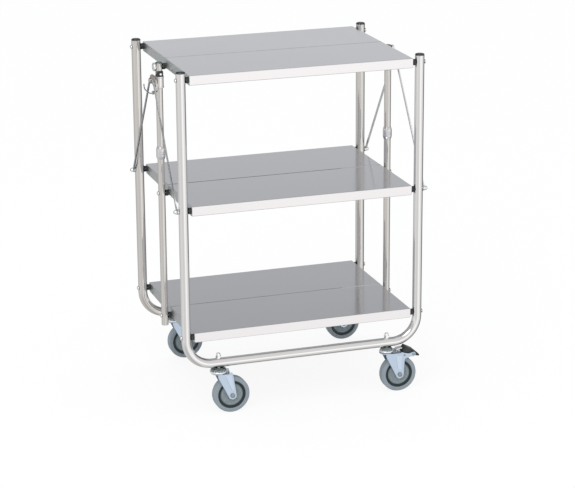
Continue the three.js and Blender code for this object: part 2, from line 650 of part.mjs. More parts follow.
// The brake pedal: a wedge between the fork's arms that turns on their pin
function pedalGeometry() {
  const half = legIn - brake.sideGap;
  const outline = new THREE.Shape();
  outline.moveTo(-brake.hub, 0);
  outline.absarc(0, 0, brake.hub, Math.PI, 2 * Math.PI - Math.PI / 4, false);
  outline.lineTo(brake.belly, -brake.bellyDrop);
  outline.lineTo(brake.toeReach, -brake.toeDrop);
  outline.lineTo(brake.tip, -brake.tipDrop);
  outline.lineTo(brake.bowReach, brake.bow);
  outline.lineTo(brake.topReach, brake.top);
  outline.lineTo(-brake.hub / 2, brake.heel);
  outline.closePath();
  const hole = turnedAlongY(rod(brake.pin + seat, -half - overrun, half + overrun), pivot.sides);
  return cut(slabAcrossY(outline, -half, half), hole).translate(brake.reach, 0, brakePin);
}

// Assembly

const trolley = new THREE.Group();

function place(name, geometry, material, parent, position = [0, 0, 0], rotation = [0, 0, 0]) {
  const mesh = new THREE.Mesh(geometry, material);
  mesh.name = name;
  mesh.position.set(...position);
  mesh.rotation.set(...rotation);
  parent.add(mesh);
  return mesh;
}

const ends = { left: -1, right: 1 };
const turnForEnd = (side) => [0, 0, side > 0 ? 0 : Math.PI];
const levels = Object.entries(shelfHeights);

function addFrame(name, y) {
  const frame = new THREE.Group();
  frame.position.set(0, y, 0);
  trolley.add(frame);
  place(`${name}_frame_tube`, frameTubeGeometry(), polishedSteel, frame);
  for (const [end, side] of Object.entries(ends)) {
    place(`${name}_${end}_end_cap`, endCapGeometry(), polishedSteel, frame, [side * halfPosts, 0, uprightTop]);
    for (const [level, height] of levels) {
      place(`${name}_${end}_pivot_bolt_${level}`, frameBoltGeometry(level), blackPlastic, frame,
        [0, 0, height - pan.outerDrop], turnForEnd(side));
    }
    addCaster(`${name}_${end}`, frame, side);
  }
}

function addCaster(name, frame, side) {
  const group = new THREE.Group();
  group.position.set((side * casterSpacing) / 2, 0, 0);
  frame.add(group);
  const braked = side > 0;
  const raceRadius = braked ? caster.brakedRaceRadius : caster.raceRadius;
  place(`${name}_caster_head`, casterHeadGeometry(raceRadius), zincSteel, group);
  place(`${name}_caster_fork`, forkGeometry(braked), zincSteel, group);
  place(`${name}_wheel_core`, wheelCoreGeometry(), wheelPlastic, group, [caster.trail, 0, wheel.radius]);
  place(`${name}_tyre`, tyreGeometry(), tyreRubber, group, [caster.trail, 0, wheel.radius]);
  if (braked) place(`${name}_brake_pedal`, pedalGeometry(), blackPlastic, group);
}

function addCentre() {
  for (const [end, side] of Object.entries(ends)) {
    const post = new THREE.Group();
    post.rotation.set(...turnForEnd(side));
    trolley.add(post);
    const atPost = [centrePostX, 0, 0];
    place(`centre_post_${end}`, centrePostGeometry(side < 0), polishedSteel, post, atPost);
    place(`stop_collar_${end}`, collarGeometry(), polishedSteel, post, atPost);
    place(`slider_${end}`, sliderGeometry(), sheetSteel, post, atPost);
    for (const [level, height] of levels) {
      place(`centre_${end}_pivot_bolt_${level}`, centreBoltGeometry(level), blackPlastic, post,
        [0, 0, height - pan.innerDrop]);
    }
    if (side < 0) {
      place("release_button", buttonGeometry(), polishedSteel, post,
        [centrePostX, 0, sliderTop + latch.gap + latch.height / 2]);
    }
  }
}

function addShelves() {
  for (const [level, height] of levels) {
    const z = height - pan.outerDrop;
    place(`front_pan_${level}`, panGeometry(false), sheetSteel, trolley, [0, -halfFrames, z]);
    place(`rear_pan_${level}`, panGeometry(true), sheetSteel, trolley, [0, halfFrames, z], [0, 0, Math.PI]);
  }
}

// The stays lean inwards from the middle pivots of the frames to the sliders
function addStays() {
  const lean = Math.atan2(stayRun, stayRise);
  for (const [row, back] of [["front", -1], ["rear", 1]]) {
    for (const [end, side] of Object.entries(ends)) {
      const group = new THREE.Group();
      group.position.set(0, back * halfFrames, stayFoot);
      group.rotation.set(back * lean, 0, 0);
      trolley.add(group);
      const withHook = side < 0 && back < 0;
      place(`${row}_stay_${end}`, stayGeometry(withHook), polishedSteel, group, [0, 0, 0], turnForEnd(side));
      if (withHook) {
        const foot = new THREE.Group();
        foot.position.set(0, 0, stayLength - hook.along);
        foot.rotation.set(lean, 0, 0);
        group.add(foot);
        place("stay_hook", hookGeometry(), polishedSteel, foot, [0, 0, 0], turnForEnd(side));
      }
    }
  }
}

addFrame("front", -halfFrames);
addFrame("rear", halfFrames);
addCentre();
addShelves();
addStays();

export default trolley;
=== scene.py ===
import math

import bmesh
import bpy
from mathutils import Matrix, Vector


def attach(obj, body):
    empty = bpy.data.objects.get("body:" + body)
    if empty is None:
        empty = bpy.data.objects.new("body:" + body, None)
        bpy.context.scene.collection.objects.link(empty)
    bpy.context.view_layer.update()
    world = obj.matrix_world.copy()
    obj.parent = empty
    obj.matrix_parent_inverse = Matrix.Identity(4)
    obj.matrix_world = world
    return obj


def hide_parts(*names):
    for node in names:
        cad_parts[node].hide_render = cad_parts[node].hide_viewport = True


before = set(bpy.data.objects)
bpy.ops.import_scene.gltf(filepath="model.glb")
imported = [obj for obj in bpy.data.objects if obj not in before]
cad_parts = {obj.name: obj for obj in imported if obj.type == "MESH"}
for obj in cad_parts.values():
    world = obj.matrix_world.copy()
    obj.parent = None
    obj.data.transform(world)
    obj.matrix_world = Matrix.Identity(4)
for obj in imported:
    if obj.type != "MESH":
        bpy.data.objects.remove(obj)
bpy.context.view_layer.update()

mm = 0.001  # the sizes of pieces are in millimetres, those of camera and studio in metres
turn = 2 * math.pi

print("camera, light and floor")

cameraView = {
    "azimuth": -18.347, "elevation": 17.067, "roll": -0.3926, "distance": 5.8777,
    "lookAt": (0.0311, 0, 0.3795), "focalPixels": 2120.64, "imageWidth": 575, "sensor": 36,
}


def addCamera(view):
    azimuth, elevation, roll = (math.radians(view[key]) for key in ("azimuth", "elevation", "roll"))
    ahead = Vector((-math.sin(azimuth) * math.cos(elevation), math.cos(azimuth) * math.cos(elevation),
                    -math.sin(elevation)))
    level = ahead.cross(Vector((0, 0, 1))).normalized()
    upward = level.cross(ahead)
    right = level * math.cos(roll) + upward * math.sin(roll)
    up = right.cross(ahead)
    data = bpy.data.cameras.new("camera")
    data.sensor_width = view["sensor"]
    data.lens = view["focalPixels"] / view["imageWidth"] * view["sensor"]
    camera = bpy.data.objects.new("camera", data)
    bpy.context.scene.collection.objects.link(camera)
    place = Vector(view["lookAt"]) - ahead * view["distance"]
    camera.matrix_world = Matrix.Translation(place) @ Matrix((right, up, -ahead)).transposed().to_4x4()
    bpy.context.scene.camera = camera


addCamera(cameraView)
bpy.context.scene.view_settings.view_transform = "Standard"

studio = {
    "diffuseGrey": 0.94, "roomColour": (0.97, 0.98, 1.0), "seenStrength": 1.444,
    # greys seen in polished metal: around the room below and above eye level, and from floor to ceiling in
    # front and behind. A place is a share of the full turn, which starts in front and runs by the left, or of
    # the way up
    "around": [(0, 0.9), (0.012, 0.86), (0.028, 0.64), (0.125, 0.6), (0.18, 0.67), (0.26, 0.65), (0.32, 0.56),
               (0.38, 0.6), (0.42, 0.36), (0.48, 0.34), (0.51, 0.52), (0.55, 0.6), (0.6, 0.54), (0.65, 0.3),
               (0.69, 0.12), (0.745, 0.14), (0.785, 0.5), (0.82, 0.7), (0.87, 0.72), (0.915, 0.8),
               (0.938, 0.9), (0.975, 0.9), (1, 0.86)],
    "aroundAbove": [(0, 0.82), (0.05, 0.74), (0.25, 0.68), (0.45, 0.64), (0.56, 0.64), (0.75, 0.68),
                    (0.93, 0.88), (1, 0.82)],
    "inFront": [(0, 0.5), (0.085, 0.62), (0.265, 0.75), (0.33, 0.88), (0.36, 0.9), (0.44, 1), (0.5, 1),
                (0.55, 0.8), (0.59, 0.66), (0.65, 0.63), (0.7, 0.7), (0.863, 0.65), (1, 0.68)],
    "behind": [(0, 0.9), (0.33, 0.9), (0.5, 0.85), (0.58, 0.775), (0.602, 0.73), (0.631, 0.59),
               (0.658, 0.553), (0.7, 0.36), (0.78, 0.22), (0.87, 0.3), (0.94, 0.6), (1, 0.68)],
    "eyeLevel": (0.42, 0.54), "frontToBack": (-0.35, 0.35),
    "keyPlace": (-1.8, -2.4, 3.2), "keyAim": (0, 0, 0.45), "keySize": 2.2, "keyPower": 38,
    "floorSize": 40, "floorOwnShare": 0.88,
}
white = (1, 1, 1, 1)


def nodeTree(owner):
    owner.use_nodes = True
    tree = owner.node_tree
    tree.nodes.clear()
    return tree


def feed(tree, socket, value):
    # gives an input its constant, or links it to the output that the value is
    if isinstance(value, bpy.types.NodeSocket):
        tree.links.new(value, socket)
    else:
        socket.default_value = value


def addNode(tree, kind, **values):
    # values name either a node setting or an input socket
    node = tree.nodes.new(kind)
    for key, value in values.items():
        if hasattr(node, key):
            setattr(node, key, value)
        else:
            feed(tree, node.inputs[key.replace("_", " ")], value)
    return node


def addMath(tree, operation, *values):
    node = addNode(tree, "ShaderNodeMath", operation=operation)
    for socket, value in zip(node.inputs, values):
        feed(tree, socket, value)
    return node.outputs[0]


def mixColours(tree, factor, first, second, blend="MIX"):
    node = addNode(tree, "ShaderNodeMix", data_type="RGBA", blend_type=blend)
    colourInputs = [socket for socket in node.inputs if socket.type == "RGBA"]
    for socket, value in zip((node.inputs[0], *colourInputs), (factor, first, second)):
        feed(tree, socket, value)
    return next(socket for socket in node.outputs if socket.type == "RGBA")


def mixShaders(tree, factor, first, second):
    node = addNode(tree, "ShaderNodeMixShader")
    for socket, value in zip(node.inputs, (factor, first, second)):
        feed(tree, socket, value)
    return node.outputs[0]


def addRamp(tree, source, stops):
    node = addNode(tree, "ShaderNodeValToRGB", Fac=source)
    ramp = node.color_ramp
    while len(ramp.elements) < len(stops):
        ramp.elements.new(0.5)
    for element, (position, grey) in zip(ramp.elements, stops):
        element.position = position
        element.color = (grey, grey, grey, 1)
    return node.outputs["Color"]


def addStep(tree, source, low, high):
    # a soft step from 0 to 1
    return addNode(tree, "ShaderNodeMapRange", interpolation_type="SMOOTHSTEP", Value=source, From_Min=low,
                   From_Max=high).outputs[0]


def addStudio(studio):
    # a white room: the camera sees plain white, and polished metal sees grey screens around it
    world = bpy.data.worlds.new("studio")
    bpy.context.scene.world = world
    tree = nodeTree(world)
    coords = addNode(tree, "ShaderNodeTexCoord")
    split = addNode(tree, "ShaderNodeSeparateXYZ", Vector=coords.outputs["Generated"])
    height = addMath(tree, "MULTIPLY_ADD", split.outputs["Z"], 0.5, 0.5)
    arc = addMath(tree, "ARCTAN2", split.outputs["X"], split.outputs["Y"])
    bearing = addMath(tree, "MULTIPLY_ADD", arc, 1 / turn, 0.5)
    below, above = [addRamp(tree, bearing, studio[key]) for key in ("around", "aroundAbove")]
    inFront, behind = [addRamp(tree, height, studio[key]) for key in ("inFront", "behind")]
    around = mixColours(tree, addStep(tree, height, *studio["eyeLevel"]), below, above)
    rise = mixColours(tree, addStep(tree, split.outputs["Y"], *studio["frontToBack"]), inFront, behind)
    seen = addNode(tree, "ShaderNodeBackground", Color=mixColours(tree, 1, rise, around, "MULTIPLY"),
                   Strength=studio["seenStrength"])
    lighting = addNode(tree, "ShaderNodeBackground", Color=(*studio["roomColour"], 1),
                       Strength=studio["diffuseGrey"])
    backdrop = addNode(tree, "ShaderNodeBackground", Color=white, Strength=1)
    path = addNode(tree, "ShaderNodeLightPath")
    reflected = mixShaders(tree, path.outputs["Is Glossy Ray"], lighting.outputs[0], seen.outputs[0])
    direct = mixShaders(tree, path.outputs["Is Camera Ray"], reflected, backdrop.outputs[0])
    addNode(tree, "ShaderNodeOutputWorld", Surface=direct)


def addKeyLight(studio):
    data = bpy.data.lights.new("keyLight", "AREA")
    data.size = studio["keySize"]
    data.energy = studio["keyPower"]
    lamp = bpy.data.objects.new("keyLight", data)
    lamp.location = studio["keyPlace"]
    aim = Vector(studio["keyAim"]) - Vector(studio["keyPlace"])
    lamp.rotation_euler = aim.to_track_quat("-Z", "Y").to_euler()
    bpy.context.scene.collection.objects.link(lamp)


def addFloor(studio):
    half = studio["floorSize"] / 2
    mesh = bpy.data.meshes.new("floor")
    mesh.from_pydata([(-half, -half, 0), (half, -half, 0), (half, half, 0), (-half, half, 0)], [],
                     [(0, 1, 2, 3)])
    material = bpy.data.materials.new("paleFloor")
    tree = nodeTree(material)
    lit = addNode(tree, "ShaderNodeBsdfDiffuse", Color=white)
    own = addNode(tree, "ShaderNodeEmission", Color=white, Strength=1)
    path = addNode(tree, "ShaderNodeLightPath")
    share = addMath(tree, "MULTIPLY", path.outputs["Is Camera Ray"], studio["floorOwnShare"])
    addNode(tree, "ShaderNodeOutputMaterial", Surface=mixShaders(tree, share, lit.outputs[0], own.outputs[0]))
    mesh.materials.append(material)
    floor = bpy.data.objects.new("floor", mesh)
    floor.visible_glossy = False
    bpy.context.scene.collection.objects.link(floor)


addStudio(studio)
addKeyLight(studio)
addFloor(studio)

print("materials")

# In order: colour, metallic share, least and most roughness, grain, bump strength, and drift of the colour.
# The grain is the noise's scale along X, Y and Z, so that a high number lies across the polishing lines
finishes = {
    "polishedTube": ((0.775, 0.765, 0.76), 1, (0.03, 0.07), (60, 60, 60), 0.01, 0.03),
    # a darker, warmer copy of the polished tube's colour for the rear frame and centre posts: painted shade
    "shadedWarmTube": ((0.66, 0.635, 0.61), 1, (0.03, 0.07), (60, 60, 60), 0.01, 0.04),
    "satinSheet": ((0.715, 0.727, 0.775), 1, (0.1, 0.17), (5, 500, 500), 0.006, 0.02),
    # lip, flange and inside: lighter and darker copies of the sheet's own colour, painted light and shade
    "litLipSheet": ((0.765, 0.74, 0.745), 1, (0.1, 0.17), (5, 500, 500), 0.006, 0.02),
    "shadedFlangeSheet": ((0.6, 0.635, 0.64), 1, (0.36, 0.46), (500, 5, 500), 0.02, 0.06),
    "shadedSheetInside": ((0.66, 0.67, 0.69), 1, (0.2, 0.3), (5, 500, 500), 0.02, 0.05),
    "collarSteel": ((0.7, 0.69, 0.7), 1, (0.08, 0.16), (90, 90, 90), 0.01, 0.06),
    # the end caps' polished steel with a near-black colour: a painted dark reflection
    "darkReflectionCapPlate": ((0.1, 0.115, 0.12), 1, (0.2, 0.32), (220, 220, 220), 0.03, 0.1),
    "brightPlate": ((0.92, 0.92, 0.93), 1, (0.12, 0.22), (90, 90, 90), 0.01, 0.04),
    # a darker copy of the pale stay steel, worn by the left stays and the brake barrel: painted shade
    "shadedStayPlate": ((0.52, 0.525, 0.53), 1, (0.14, 0.26), (400, 400, 12), 0.03, 0.1),
    "paleStayPlate": ((0.86, 0.88, 0.9), 1, (0.14, 0.26), (400, 400, 12), 0.03, 0.08),
    "zincPlate": ((0.52, 0.62, 0.735), 1, (0.3, 0.42), (160, 160, 160), 0.03, 0.06),
    # a lighter copy of the fork's zinc for the pressed ribs: a painted highlight
    "litRibZinc": ((0.61, 0.7, 0.82), 1, (0.34, 0.46), (160, 160, 160), 0.02, 0.04),
    "boltSteel": ((0.3, 0.33, 0.35), 1, (0.24, 0.36), (220, 220, 220), 0.03, 0.1),
    "darkPlate": ((0.26, 0.3, 0.3), 1, (0.2, 0.34), (220, 220, 220), 0.05, 0.15),
    "warmPlate": ((0.5, 0.46, 0.43), 1, (0.16, 0.3), (400, 40, 40), 0.04, 0.12),
    "blackPlastic": ((0.024, 0.031, 0.03), 0, (0.4, 0.55), (700, 700, 700), 0.08, 0.2),
    "greyRubber": ((0.263, 0.308, 0.34), 0, (0.6, 0.75), (420, 420, 420), 0.08, 0.06),
    "darkRubber": ((0.008, 0.018, 0.021), 0, (0.5, 0.65), (420, 420, 420), 0.06, 0.12),
    "discPlastic": ((0.17, 0.22, 0.235), 0, (0.45, 0.6), (500, 500, 500), 0.05, 0.06),
    # a lighter copy of the disc's plastic for its ridges: painted light
    "litRidgePlastic": ((0.38, 0.435, 0.455), 0, (0.45, 0.6), (500, 500, 500), 0.05, 0.06),
}
noise = {
    "detail": 4.0, "roughness": 0.6, "broadScale": 5.0, "broadDetail": 2.0, "share": 0.5, "range": (0.3, 0.7),
    "bumpDistance": 0.0004,
}


def addFinish(name, colour, metal, rough, grain, relief, drift):
    material = bpy.data.materials.new(name)
    tree = nodeTree(material)
    place = addNode(tree, "ShaderNodeTexCoord").outputs["Object"]
    stretched = addNode(tree, "ShaderNodeMapping", Vector=place, Scale=grain).outputs[0]
    fine = addNode(tree, "ShaderNodeTexNoise", Vector=stretched, Scale=1.0, Detail=noise["detail"],
                   Roughness=noise["roughness"]).outputs[0]
    broad = addNode(tree, "ShaderNodeTexNoise", Vector=place, Scale=noise["broadScale"],
                    Detail=noise["broadDetail"]).outputs[0]
    # colour and roughness drift a little over the piece and with the grain
    shares = [addMath(tree, "MULTIPLY", source, noise["share"]) for source in (fine, broad)]
    mixed = addMath(tree, "ADD", *shares)
    dark, light = [[min(1, channel * share) for channel in colour] + [1] for share in (1 - drift, 1 + drift)]
    polish = addNode(tree, "ShaderNodeMapRange", Value=mixed, From_Min=noise["range"][0],
                     From_Max=noise["range"][1], To_Min=rough[0], To_Max=rough[1]).outputs[0]
    bump = addNode(tree, "ShaderNodeBump", Height=fine, Strength=relief, Distance=noise["bumpDistance"])
    shader = addNode(tree, "ShaderNodeBsdfPrincipled", Base_Color=mixColours(tree, mixed, dark, light),
                     Metallic=metal, Roughness=polish, Normal=bump.outputs[0])
    addNode(tree, "ShaderNodeOutputMaterial", Surface=shader.outputs[0])
    return material


materials = {name: addFinish(name, *look) for name, look in finishes.items()}

print("shaping tools")

softening = {"sharpAngle": 38, "segments": 2, "weight": 100}
sidesOf = {"tyre": 96, "disc": 72, "tube": 48, "screw": 36, "pin": 32, "ball": 12}


def arcPoints(centre, radius, start, end, steps, rise=None):
    # points on an arc, with its angles in degrees; rise is the upright radius where that differs
    angles = [math.radians(start + (end - start) * i / steps) for i in range(steps + 1)]
    rise = radius if rise is None else rise
    return [(centre[0] + radius * math.cos(angle), centre[1] + rise * math.sin(angle)) for angle in angles]


def insetPoints(radius, height, shape):
    # points of a turned profile, by how far each lies inside a radius and below a height
    return [(radius - inset, height - drop) for inset, drop in shape]


def mirrored(line, middle=0):
    # a turned profile from its upper half, which runs from the end to the middle
    return [(point[0], 2 * middle - point[1], *point[2:]) for point in line] + line[::-1]


def closedLoop(line):
    return line + line[:1]


def softEnd(inner, radius, height, across, along=None):
    # the end of a ring or rod with its outer edge broken
    return [(inner, height), (radius - across, height), (radius, height - (along or across))]


def softRing(bore, radius, low, high, soft):
    return closedLoop(mirrored(softEnd(bore, radius, high, soft), (low + high) / 2))


def flatReach(radius, count, angle):
    # how far out a polygon's side lies at an angle; radius is that of its corners
    half = math.pi / count
    return radius * math.cos(half) / math.cos(angle % (2 * half) - half)


def moved(part, matrix):
    return [tuple(matrix @ Vector(vert)) for vert in part[0]], part[1]


def turnedPart(profile, kind="tube", place=Matrix.Identity(4)):
    # a profile of (radius, height) or (radius, height, flats) turned about Z, and then put in its place
    verts, rings, faces, sides = [], [], [], sidesOf[kind]
    closed = profile[0][:2] == profile[-1][:2]
    for radius, height, *count in (profile[:-1] if closed else profile):
        start, angles = len(verts), [turn * i / sides for i in range(sides if radius else 1)]
        for angle in angles:
            reach = flatReach(radius, *count, angle) if count else radius
            verts.append((reach * math.cos(angle), reach * math.sin(angle), height))
        rings.append([start + i % len(angles) for i in range(sides)])
    for low, high in zip(rings, rings[1:] + (rings[:1] if closed else [])):
        for i in range(sides):
            j = (i + 1) % sides
            faces.append(tuple(dict.fromkeys((low[i], low[j], high[j], high[i]))))
    return moved((verts, faces), place)


def ringedPart(rings):
    # rings of points, each joined to the next, with a face over both ends
    verts, count = [vert for ring in rings for vert in ring], len(rings[0])
    faces = [tuple(range(count)), tuple(range(len(verts) - count, len(verts)))]
    for start in range(0, len(verts) - count, count):
        for i in range(count):
            j = (i + 1) % count
            faces.append((start + i, start + j, start + count + j, start + count + i))
    return verts, faces


def sweptPart(path, section, side):
    # a section of (across, out) pairs carried along a path, with "across" kept along side
    side, rings = Vector(side), []
    for i, point in enumerate(path):
        ahead = Vector(path[min(i + 1, len(path) - 1)]) - Vector(path[max(i - 1, 0)])
        out = ahead.cross(side).normalized()
        rings.append([tuple(Vector(point) + side * across + out * outward) for across, outward in section])
    return ringedPart(rings)


def slabPart(outline, low, high, axis):
    # an outline given thickness along an axis
    places = {"X": lambda u, v, t: (t, u, v), "Y": lambda u, v, t: (u, t, v), "Z": lambda u, v, t: (u, v, t)}
    return ringedPart([[places[axis](u, v, t) for u, v in outline] for t in (low, high)])


def slabPair(outline, near, far, axis):
    # the same slab on both sides of the middle
    return [slabPart(outline, *sorted((side * near, side * far)), axis) for side in (-1, 1)]


def blockPart(nearX, farX, nearY, farY, low, high):
    return slabPart([(nearX, nearY), (farX, nearY), (farX, farY), (nearX, farY)], low, high, "Z")


def roundSection(radius, sides):
    return arcPoints((0, 0), radius, 0, 360 - 360 / sides, sides - 1)


alongX = Matrix.Rotation(math.pi / 2, 4, "Y")
alongY = Matrix.Rotation(-math.pi / 2, 4, "X")


def at(x, y, z):
    return Matrix.Translation((x, y, z))


def endTurn(side):
    # pieces are drawn for the right-hand end, and turned round for the left
    return Matrix.Rotation(0 if side > 0 else math.pi, 4, "Z")


def addPiece(name, parts, finish, tie, edge=0, place=Matrix.Identity(4)):
    # joins parts into one object; tie holds its body, the nodes that it replaces and its slot
    shape = bmesh.new()
    for verts, faces in parts:
        made = [shape.verts.new(place @ Vector(vert) * mm) for vert in verts]
        for face in faces:
            shape.faces.new([made[i] for i in face])
    bmesh.ops.recalc_face_normals(shape, faces=shape.faces)
    finishPiece(name, shape, [finish], tie, edge)


def finishPiece(name, shape, looks, tie, edge=0, thickness=0):
    # softens the edges, gives a sheet its thickness, and ties the piece to its body and nodes
    body, nodes, slot = tie
    mesh = bpy.data.meshes.new(name)
    shape.to_mesh(mesh)
    shape.free()
    mesh.polygons.foreach_set("use_smooth", [True] * len(mesh.polygons))
    mesh.set_sharp_from_angle(angle=math.radians(softening["sharpAngle"]))
    for look in looks:
        mesh.materials.append(materials[look])
    piece = bpy.data.objects.new(name, mesh)
    bpy.context.scene.collection.objects.link(piece)
    if edge:
        bevel = piece.modifiers.new("edges", "BEVEL")
        bevel.width = edge * mm
        bevel.segments = softening["segments"]
        bevel.limit_method = "ANGLE"
        bevel.angle_limit = math.radians(softening["sharpAngle"])
    if thickness:
        sheet = piece.modifiers.new("sheet", "SOLIDIFY")
        sheet.thickness = thickness * mm
        sheet.offset = -1
        sheet.material_offset = 1
    even = piece.modifiers.new("evenShading", "WEIGHTED_NORMAL")  # keeps flat faces flat beside soft edges
    even.weight = softening["weight"]
    even.keep_sharp = True
    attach(piece, body)
    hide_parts(*nodes)


trolley = {
    "postSpacing": 656, "frameSpacing": 450, "shelfLength": 614, "shelfPitch": 348, "bottomShelf": 234,
    "railHeight": 142, "uprightTop": 936, "casterSpacing": 480, "gap": 0.3,
}
halfPosts = trolley["postSpacing"] / 2
halfFrames = trolley["frameSpacing"] / 2
halfShelf = trolley["shelfLength"] / 2
gap = trolley["gap"]
shelfHeights = {level: trolley["bottomShelf"] + i * trolley["shelfPitch"]
                for i, level in enumerate(("bottom", "middle", "top"))}
rows = {"front": -1, "rear": 1}
ends = {"left": -1, "right": 1}
flats = 6  # of nuts and sockets

print("frames")

frameTube = {
    "radius": 12.7, "bendRadius": 70, "bendSteps": 20, "lead": 1,
    # the rear frame's tube has a darker copy of the front's colour: painted shade
    "finishes": {"front": "polishedTube", "rear": "shadedWarmTube"},
}
# the shapes give how far each point lies inside the radius and below the top of the rim or dome
endCap = {
    "spigot": 8, "wall": 1.6, "soft": 0.3, "rimTop": 3.8, "domeRadius": 10.9, "rise": 5.2, "seatDrop": 0.4,
    "rimShape": ((0, 2.2), (0.25, 1.4), (0.8, 0.6), (1.5, 0), (1.8, 0), (2, 0.4)),
    "domeShape": ((0.3, 1.7), (0.4, 1.3), (1.6, 0.7), (3.6, 0.25), (6.2, 0.04)),
}


def framePath(tube):
    inset = halfPosts - tube["bendRadius"]
    rail = trolley["railHeight"]
    bendHeight = rail + tube["bendRadius"]
    left = arcPoints((-inset, bendHeight), tube["bendRadius"], 180, 270, tube["bendSteps"])
    right = arcPoints((inset, bendHeight), tube["bendRadius"], 270, 360, tube["bendSteps"])
    top, lead = trolley["uprightTop"], tube["lead"]
    flat = [(-halfPosts, top), (-halfPosts, bendHeight + lead), *left, (-inset + lead, rail),
            (inset - lead, rail), *right, (halfPosts, bendHeight + lead), (halfPosts, top)]
    return [(x, 0, z) for x, z in flat]


def capProfile(cap, radius):
    # the rim that rests on the tube, with its spigot
    bore = radius - cap["wall"]
    return [(0, -cap["spigot"]), (bore, -cap["spigot"]), (bore, gap), (radius - cap["soft"], gap),
            (radius, gap + cap["soft"]), *insetPoints(radius, cap["rimTop"], cap["rimShape"]),
            (0, cap["rimTop"] - cap["seatDrop"])]


def domeProfile(cap):
    dome = insetPoints(cap["domeRadius"], cap["rise"], cap["domeShape"])
    return [(0, dome[0][1]), *dome, (0, cap["rise"])]


for row, back in rows.items():
    y = back * halfFrames
    section = roundSection(frameTube["radius"], sidesOf["tube"])
    tubePart = sweptPart(framePath(frameTube), section, (0, 1, 0))
    addPiece(f"{row}FrameTube", [moved(tubePart, at(0, y, 0))], frameTube["finishes"][row],
             (f"{row}_frame", [f"{row}_frame_tube"], "polished_steel"))
    for end, side in ends.items():
        top = at(side * halfPosts, y, trolley["uprightTop"])
        tie = (f"{row}_frame", [f"{row}_{end}_end_cap"], "polished_steel")
        cap = turnedPart(capProfile(endCap, frameTube["radius"]))
        # the caps' near-black colour is a painted dark reflection
        addPiece(f"{row}{end.title()}EndCap", [cap], "darkReflectionCapPlate", tie, place=top)
        addPiece(f"{row}{end.title()}CapDome", [turnedPart(domeProfile(endCap))], "darkReflectionCapPlate", tie, place=top)

print("pivots")

# headShape gives shares of the head's radius and height
pivot = {
    "outerDrop": 12, "innerDrop": 22, "shank": 3.2, "headRadius": 6, "headHeight": 3.4, "outerReach": 353.8,
    "headEdge": 0.2, "headFoot": 0.3, "headShape": ((0.97, 0.35), (0.86, 0.66), (0.68, 0.9), (0.52, 1)),
    "socket": 2.5, "socketTaper": 0.96, "socketDepth": 0.55, "socketPoint": 0.65,
    "nutRadius": 5.6, "nutHeight": 4.4, "nutEdge": 0.4, "nutCorner": 0.9, "tip": 0.3, "tipShare": 0.8,
    "bushRadius": 8.4, "bushEdge": 0.5, "bushGroove": 0.7,
    "washer": 2.3, "washerRadius": 7, "washerEdge": 0.3,
}
centreTube = {
    "radius": 9.5, "above": 9, "below": 27, "bore": 8.3, "depth": 30, "edge": 0.2,
    # the plug's points, by how far each lies inside the tube's radius and below the plug's top
    "plugRise": 4.2, "plugShape": ((0.6, 4.18), (0.2, 3.7), (0.2, 2.6), (1, 1.4), (2.8, 0.5), (5, 0.1)),
}
knob = {
    "radius": 11.4, "height": 6.6, "foot": 1.6, "footSteps": 5, "round": 2.6, "roundSteps": 7,
    "dimple": 3.6, "dimpleDepth": 0.7, "dimpleSlope": 0.6,
}
stayBar = {"eye": 6.5, "width": 8, "thickness": 3}
shelfSheet = {"sheet": 1.2, "ear": 3}
postFace = halfPosts - frameTube["radius"]
centreX = postFace + centreTube["radius"]
stayInner = halfPosts + frameTube["radius"] + gap + pivot["washer"] + gap
stayOuter = stayInner + stayBar["thickness"]
outerReach = pivot["outerReach"]


def domedHead(start, end):
    # a button head with a hexagon socket
    height, radius, socket = end - start, pivot["headRadius"], pivot["socket"]
    dome = [(radius * wide, start + height * up) for wide, up in pivot["headShape"]]
    return [(pivot["shank"], start), (radius - pivot["headEdge"], start), (radius, start + pivot["headFoot"]),
            *dome, (socket, end, flats),
            (socket * pivot["socketTaper"], end - height * pivot["socketDepth"], flats),
            (0, end - height * pivot["socketPoint"])]


def knobHead(start):
    end = start + knob["height"]
    radius, foot, bend, floor = knob["radius"], knob["foot"], knob["round"], end - knob["dimpleDepth"]
    low = arcPoints((radius - foot, start + foot), foot, -90, 0, knob["footSteps"])
    high = arcPoints((radius - bend, end - bend), bend, 0, 90, knob["roundSteps"])
    return [(pivot["shank"], start), *low, *high, (knob["dimple"] + knob["dimpleSlope"], end),
            (knob["dimple"], floor), (0, floor)]


def boltProfile(grip, head):
    inner = halfShelf - grip - gap
    nut = inner - pivot["nutHeight"]
    shank, radius, edge = pivot["shank"], pivot["nutRadius"], pivot["nutEdge"]
    corner, tip = radius * pivot["nutCorner"], nut - pivot["tip"]
    return [(0, tip), (shank * pivot["tipShare"], tip), (shank, nut), (corner, nut, flats),
            (radius, nut + edge, flats), (radius, inner - edge, flats), (corner, inner, flats),
            (shank, inner), *head]


def bushProfile():
    high = postFace - gap
    middle = (halfShelf + gap + high) / 2
    radius, groove = pivot["bushRadius"], pivot["bushGroove"]
    return closedLoop(mirrored([
        *softEnd(pivot["shank"], radius, high, pivot["bushEdge"]), (radius, middle + groove),
        (radius - groove, middle + groove / 2),
    ], middle))


def washerPart(start):
    end = start + pivot["washer"]
    ring = softRing(pivot["shank"], pivot["washerRadius"], start, end, pivot["washerEdge"])
    return turnedPart(ring, place=alongX)


def addPivot(name, node, body, grip, head, extra, place):
    tie = (body, [node], "black_plastic")
    bolt = turnedPart(boltProfile(grip, head), place=alongX)
    addPiece(f"{name}Bolt", [bolt, *extra], "brightPlate", tie, place=place)
    bush = turnedPart(bushProfile(), place=alongX)
    addPiece(f"{name}Bush", [bush], "blackPlastic", tie, place=place)


